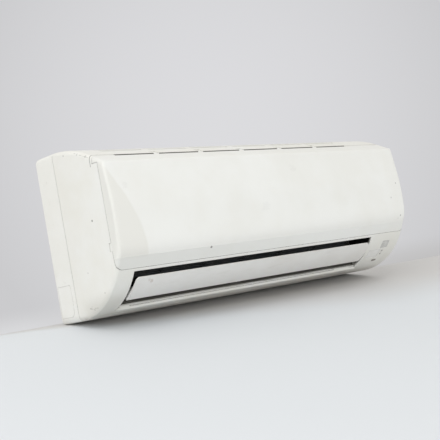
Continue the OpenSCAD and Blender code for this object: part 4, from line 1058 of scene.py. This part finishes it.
LIP = [(-114.6, 14.5), (-115.4, 15.0), (-116.5, 14.9), (-117.1, 14.3), (-117.1, 13.0), (-116.2, 12.7),
       (-116.2, 12.1), (-117.2, 11.8), (-117.5, 11.1), (-117.4, 8.5), (-116.8, 7.5), (-115.6, 7.1),
       (-102.6, 6.9), (-103.5, 8.0), (-113.5, 12.0)]
COVER = [(-114.6, 14.9), (-117.2, 15.2), (-117.9, 14.5), (-118.0, 8.7), (-117.3, 7.5), (-115.6, 7.0),
         (-103.2, 6.9), (-103.5, 8.0), (-113.5, 12.0)]
CAP = [(-165.9, 265.4), (-165.9, 267.2), (-160.5, 270.1), (-154, 273.3), (-150.5, 272.6), (-150.3, 270.9),
       (-155, 269.9)]
HINGE_ARMS = [-35 + 108 * k for k in range(-2, 3)]
CAP_HALF = 5.6
sweeps = [("outlet_lip", LIP, -361, 291, (-108, 9.2), casing_white, "unit"),
          ("hinge_cover_left", COVER, -359, -334, (-112, 10.5), casing_white, "unit"),
          ("hinge_cover_right", COVER, 218, 271, (-112, 10.5), casing_white, "unit")]
sweeps += [("hinge_cap_%d" % (n + 1), CAP, x - CAP_HALF, x + CAP_HALF, (-157, 269.5), panel_white, "panel")
           for n, x in enumerate(HINGE_ARMS)]
for name, outline, first, last, towards, material, body in sweeps:
    made = swept(name, outline, first, last, towards)
    made.data.materials.append(material)
    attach(made, body)
print("swept pieces:", len(sweeps))

# %% [markdown]
# ## Foam round the pipes
# In the channel at the back the two pipes wear black foam tubes, so that they don't drip. Each tube is a
# loft of rings whose radius wanders a little, with a pinch where white tape closes its end.

# %% Shape of a foam tube
SLEEVE_RING = 20
SLEEVE_STEP = 5
PINCH_AT, PINCH_HALF, PINCH_DEPTH = 7, 9, 0.14


def sleeve(name, first, last, middle, inner, outer):
    """A foam tube along the unit, open round the pipe, with taped ends. Its faces look inwards."""
    count = max(6, int((last - first) / SLEEVE_STEP))
    corners, faces = [], []
    for k in range(count + 1):
        x = first + (last - first) * k / count
        from_end = min(x - first, last - x)
        pinch = 1 - PINCH_DEPTH + PINCH_DEPTH * min(1.0, abs(from_end - PINCH_AT) / PINCH_HALF)
        wander = 1 + 0.025 * math.sin(x * 0.11 + middle.z * 90) + 0.015 * math.sin(x * 0.37)
        for ring, radius in ((0, outer * pinch * wander), (1, inner)):
            for n in range(SLEEVE_RING):
                a = 2 * math.pi * n / SLEEVE_RING
                uneven = 1 + (0.02 * math.sin(3 * a + x * 0.05) if ring == 0 else 0)
                reach = radius * uneven
                corners.append(middle + Vector((x, reach * math.cos(a), reach * math.sin(a))) * MM)
    ring_size = 2 * SLEEVE_RING
    for k in range(count):
        for ring in (0, 1):
            near = k * ring_size + ring * SLEEVE_RING
            quads = ring_faces(near, near + ring_size, SLEEVE_RING)
            faces += quads if ring == 0 else [quad[::-1] for quad in quads]
    for outer_ring, flip in ((0, 1), (count * ring_size, -1)):
        inner_ring = outer_ring + SLEEVE_RING
        for n in range(SLEEVE_RING):
            after = (n + 1) % SLEEVE_RING
            quad = (outer_ring + n, outer_ring + after, inner_ring + after, inner_ring + n)
            faces.append(quad[::flip])
    return mesh_piece(name, corners, faces)


print("corners round a tube:", SLEEVE_RING)

# %% [markdown]
# ## Foam and tape
# One material serves all tubes: black foam with open cells, and white tape round each end. Between the
# runs the clamp holds the bare pipes. The liquid pipe is shorter, so its foam starts later.

# %% Sleeve the pipes
TAPE_HALF, TAPE_WIDTH = 0.0075, 0.005
RUNS = ((-30, 110), (130, 286))
LIQUID_LATER = 30


def foam_finish(name, ends):
    """Black foam with white tape round its ends."""
    m = Finish(name)
    along = m.axes()
    cells = m.noise(0.0022, 5, 0.8)
    tone = m.blend(cells, (0.016, 0.016, 0.017), (0.06, 0.06, 0.062))
    tape = 0.0
    for x in ends:
        tape = m.calc("MAXIMUM", m.calc("COMPARE", along["X"], x * MM, TAPE_HALF), tape)
    wrap = stripes(m, along["X"], TAPE_WIDTH)
    tone = m.blend(tape, tone, (0.62, 0.61, 0.57))
    rough = m.remap(tape, 0, 1, 0.9, 0.4)
    height = m.calc("MULTIPLY_ADD", tape, wrap, m.times(cells, 0.8))
    return m.join(Base_Color=tone, Roughness=rough, Normal=m.bump(height, 0.0005))


foam = foam_finish("pipe_foam", [x for run in RUNS for x in (run[0] + PINCH_AT, run[1] - PINCH_AT)])
for label, middle, inner, outer in (("gas", GAS_PIPE, 5.0, 10.5), ("liquid", LIQUID_PIPE, 3.4, 7.8)):
    for number, (first, last) in enumerate(RUNS):
        shift = LIQUID_LATER if label == "liquid" and number == 0 else 0
        tube = sleeve("%s_foam_%d" % (label, number + 1), first + shift, last, middle, inner, outer)
        tube.data.materials.append(foam)
        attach(tube, "unit")
        print(tube.name, "faces:", len(tube.data.polygons))

# %% [markdown]
# ## The sky and the backdrop
# A studio picture of a white object needs soft light from all round, or its white sides drown in grey, so
# an even pale sky gives most of it. The camera alone sees a backdrop instead. It is painted with a little
# glow of light behind the unit, and a band at its foot is painted with light and shade, from a paler left
# to a darker right.

# %% Paint the sky
SKY_LIGHT = 0.78
SKY_TINT = (1.0, 0.987, 0.962, 1)
BACKDROP_EDGE = (0.597, 0.597, 0.611)
# Painted light and shade along the foot of the backdrop, paler at the left and darker at the right.
BACKDROP_FOOT_LIT_AND_SHADED = (0.70, 0.702, 0.715), (0.535, 0.53, 0.53)
LOW_ACROSS = (0.53, 0.66)
LOW_BAND = (0.028, 0.0)
# A painted glow of light behind the unit.
BACKDROP_PAINTED_GLOW = (0.715, 0.715, 0.735)
GLOW_TOWARDS = Vector((0.697, 0.703, 0.169)).normalized()
GLOW_REACH = math.cos(math.radians(14.8))


def sky():
    world = bpy.data.worlds.new("studio")
    bpy.context.scene.world = world
    world.use_nodes = True
    g = Graph(world.node_tree)
    light = g.tree.nodes["Background"]
    light.inputs["Color"].default_value = SKY_TINT
    light.inputs["Strength"].default_value = SKY_LIGHT
    towards = g.add("TexCoord").outputs["Generated"]
    facing = g.vector("DOT_PRODUCT", towards, GLOW_TOWARDS)
    split = g.add("SeparateXYZ", {0: towards}).outputs
    tone = g.blend(g.remap(facing, GLOW_REACH, 1.0, smooth=False), BACKDROP_EDGE, BACKDROP_PAINTED_GLOW)
    foot = g.blend(g.remap(split["X"], *LOW_ACROSS, smooth=False), *BACKDROP_FOOT_LIT_AND_SHADED)
    tone = g.blend(g.remap(split["Z"], *LOW_BAND), tone, foot)
    backdrop = g.add("Background", {"Color": tone}).outputs[0]
    seen = g.add("LightPath").outputs["Is Camera Ray"]
    pick = g.add("MixShader", {0: seen, 1: light.outputs[0], 2: backdrop}).outputs[0]
    g.feed(g.tree.nodes["World Output"].inputs["Surface"], pick)


sky()
print("sky strength:", SKY_LIGHT)

# %% [markdown]
# ## Lamps
# One broad lamp at the upper left models the shapes, a second one opens the left end, a weak one from the
# right keeps the far end readable, and a low one fills the surfaces that look down.

# %% Set the lamps
def lamp(name, place_at, aim, size, power):
    data = bpy.data.lights.new(name, "AREA")
    data.shape, data.size, data.energy = "DISK", size, power
    made = new_object(name, data)
    made.location = place_at
    made.rotation_euler = (Vector(aim) - Vector(place_at)).to_track_quat("-Z", "Y").to_euler()
    return made


LAMPS = (
    ("broad_lamp", (-2.3, -2.4, 2.5), (0, -0.1, 0), 2.6, 45),
    ("side_lamp", (-3.2, -0.9, 0.7), (0, -0.1, 0), 1.8, 15),
    ("fill_lamp", (2.4, -2.8, 0.6), (0, -0.1, 0), 2.2, 5),
    ("low_lamp", (0.9, -2.9, -0.35), (0.2, -0.1, -0.1), 1.4, 7),
)
for row in LAMPS:
    lamp(*row)
bpy.context.scene.view_settings.view_transform = "Standard"
print("lamps:", len(LAMPS))

# %% [markdown]
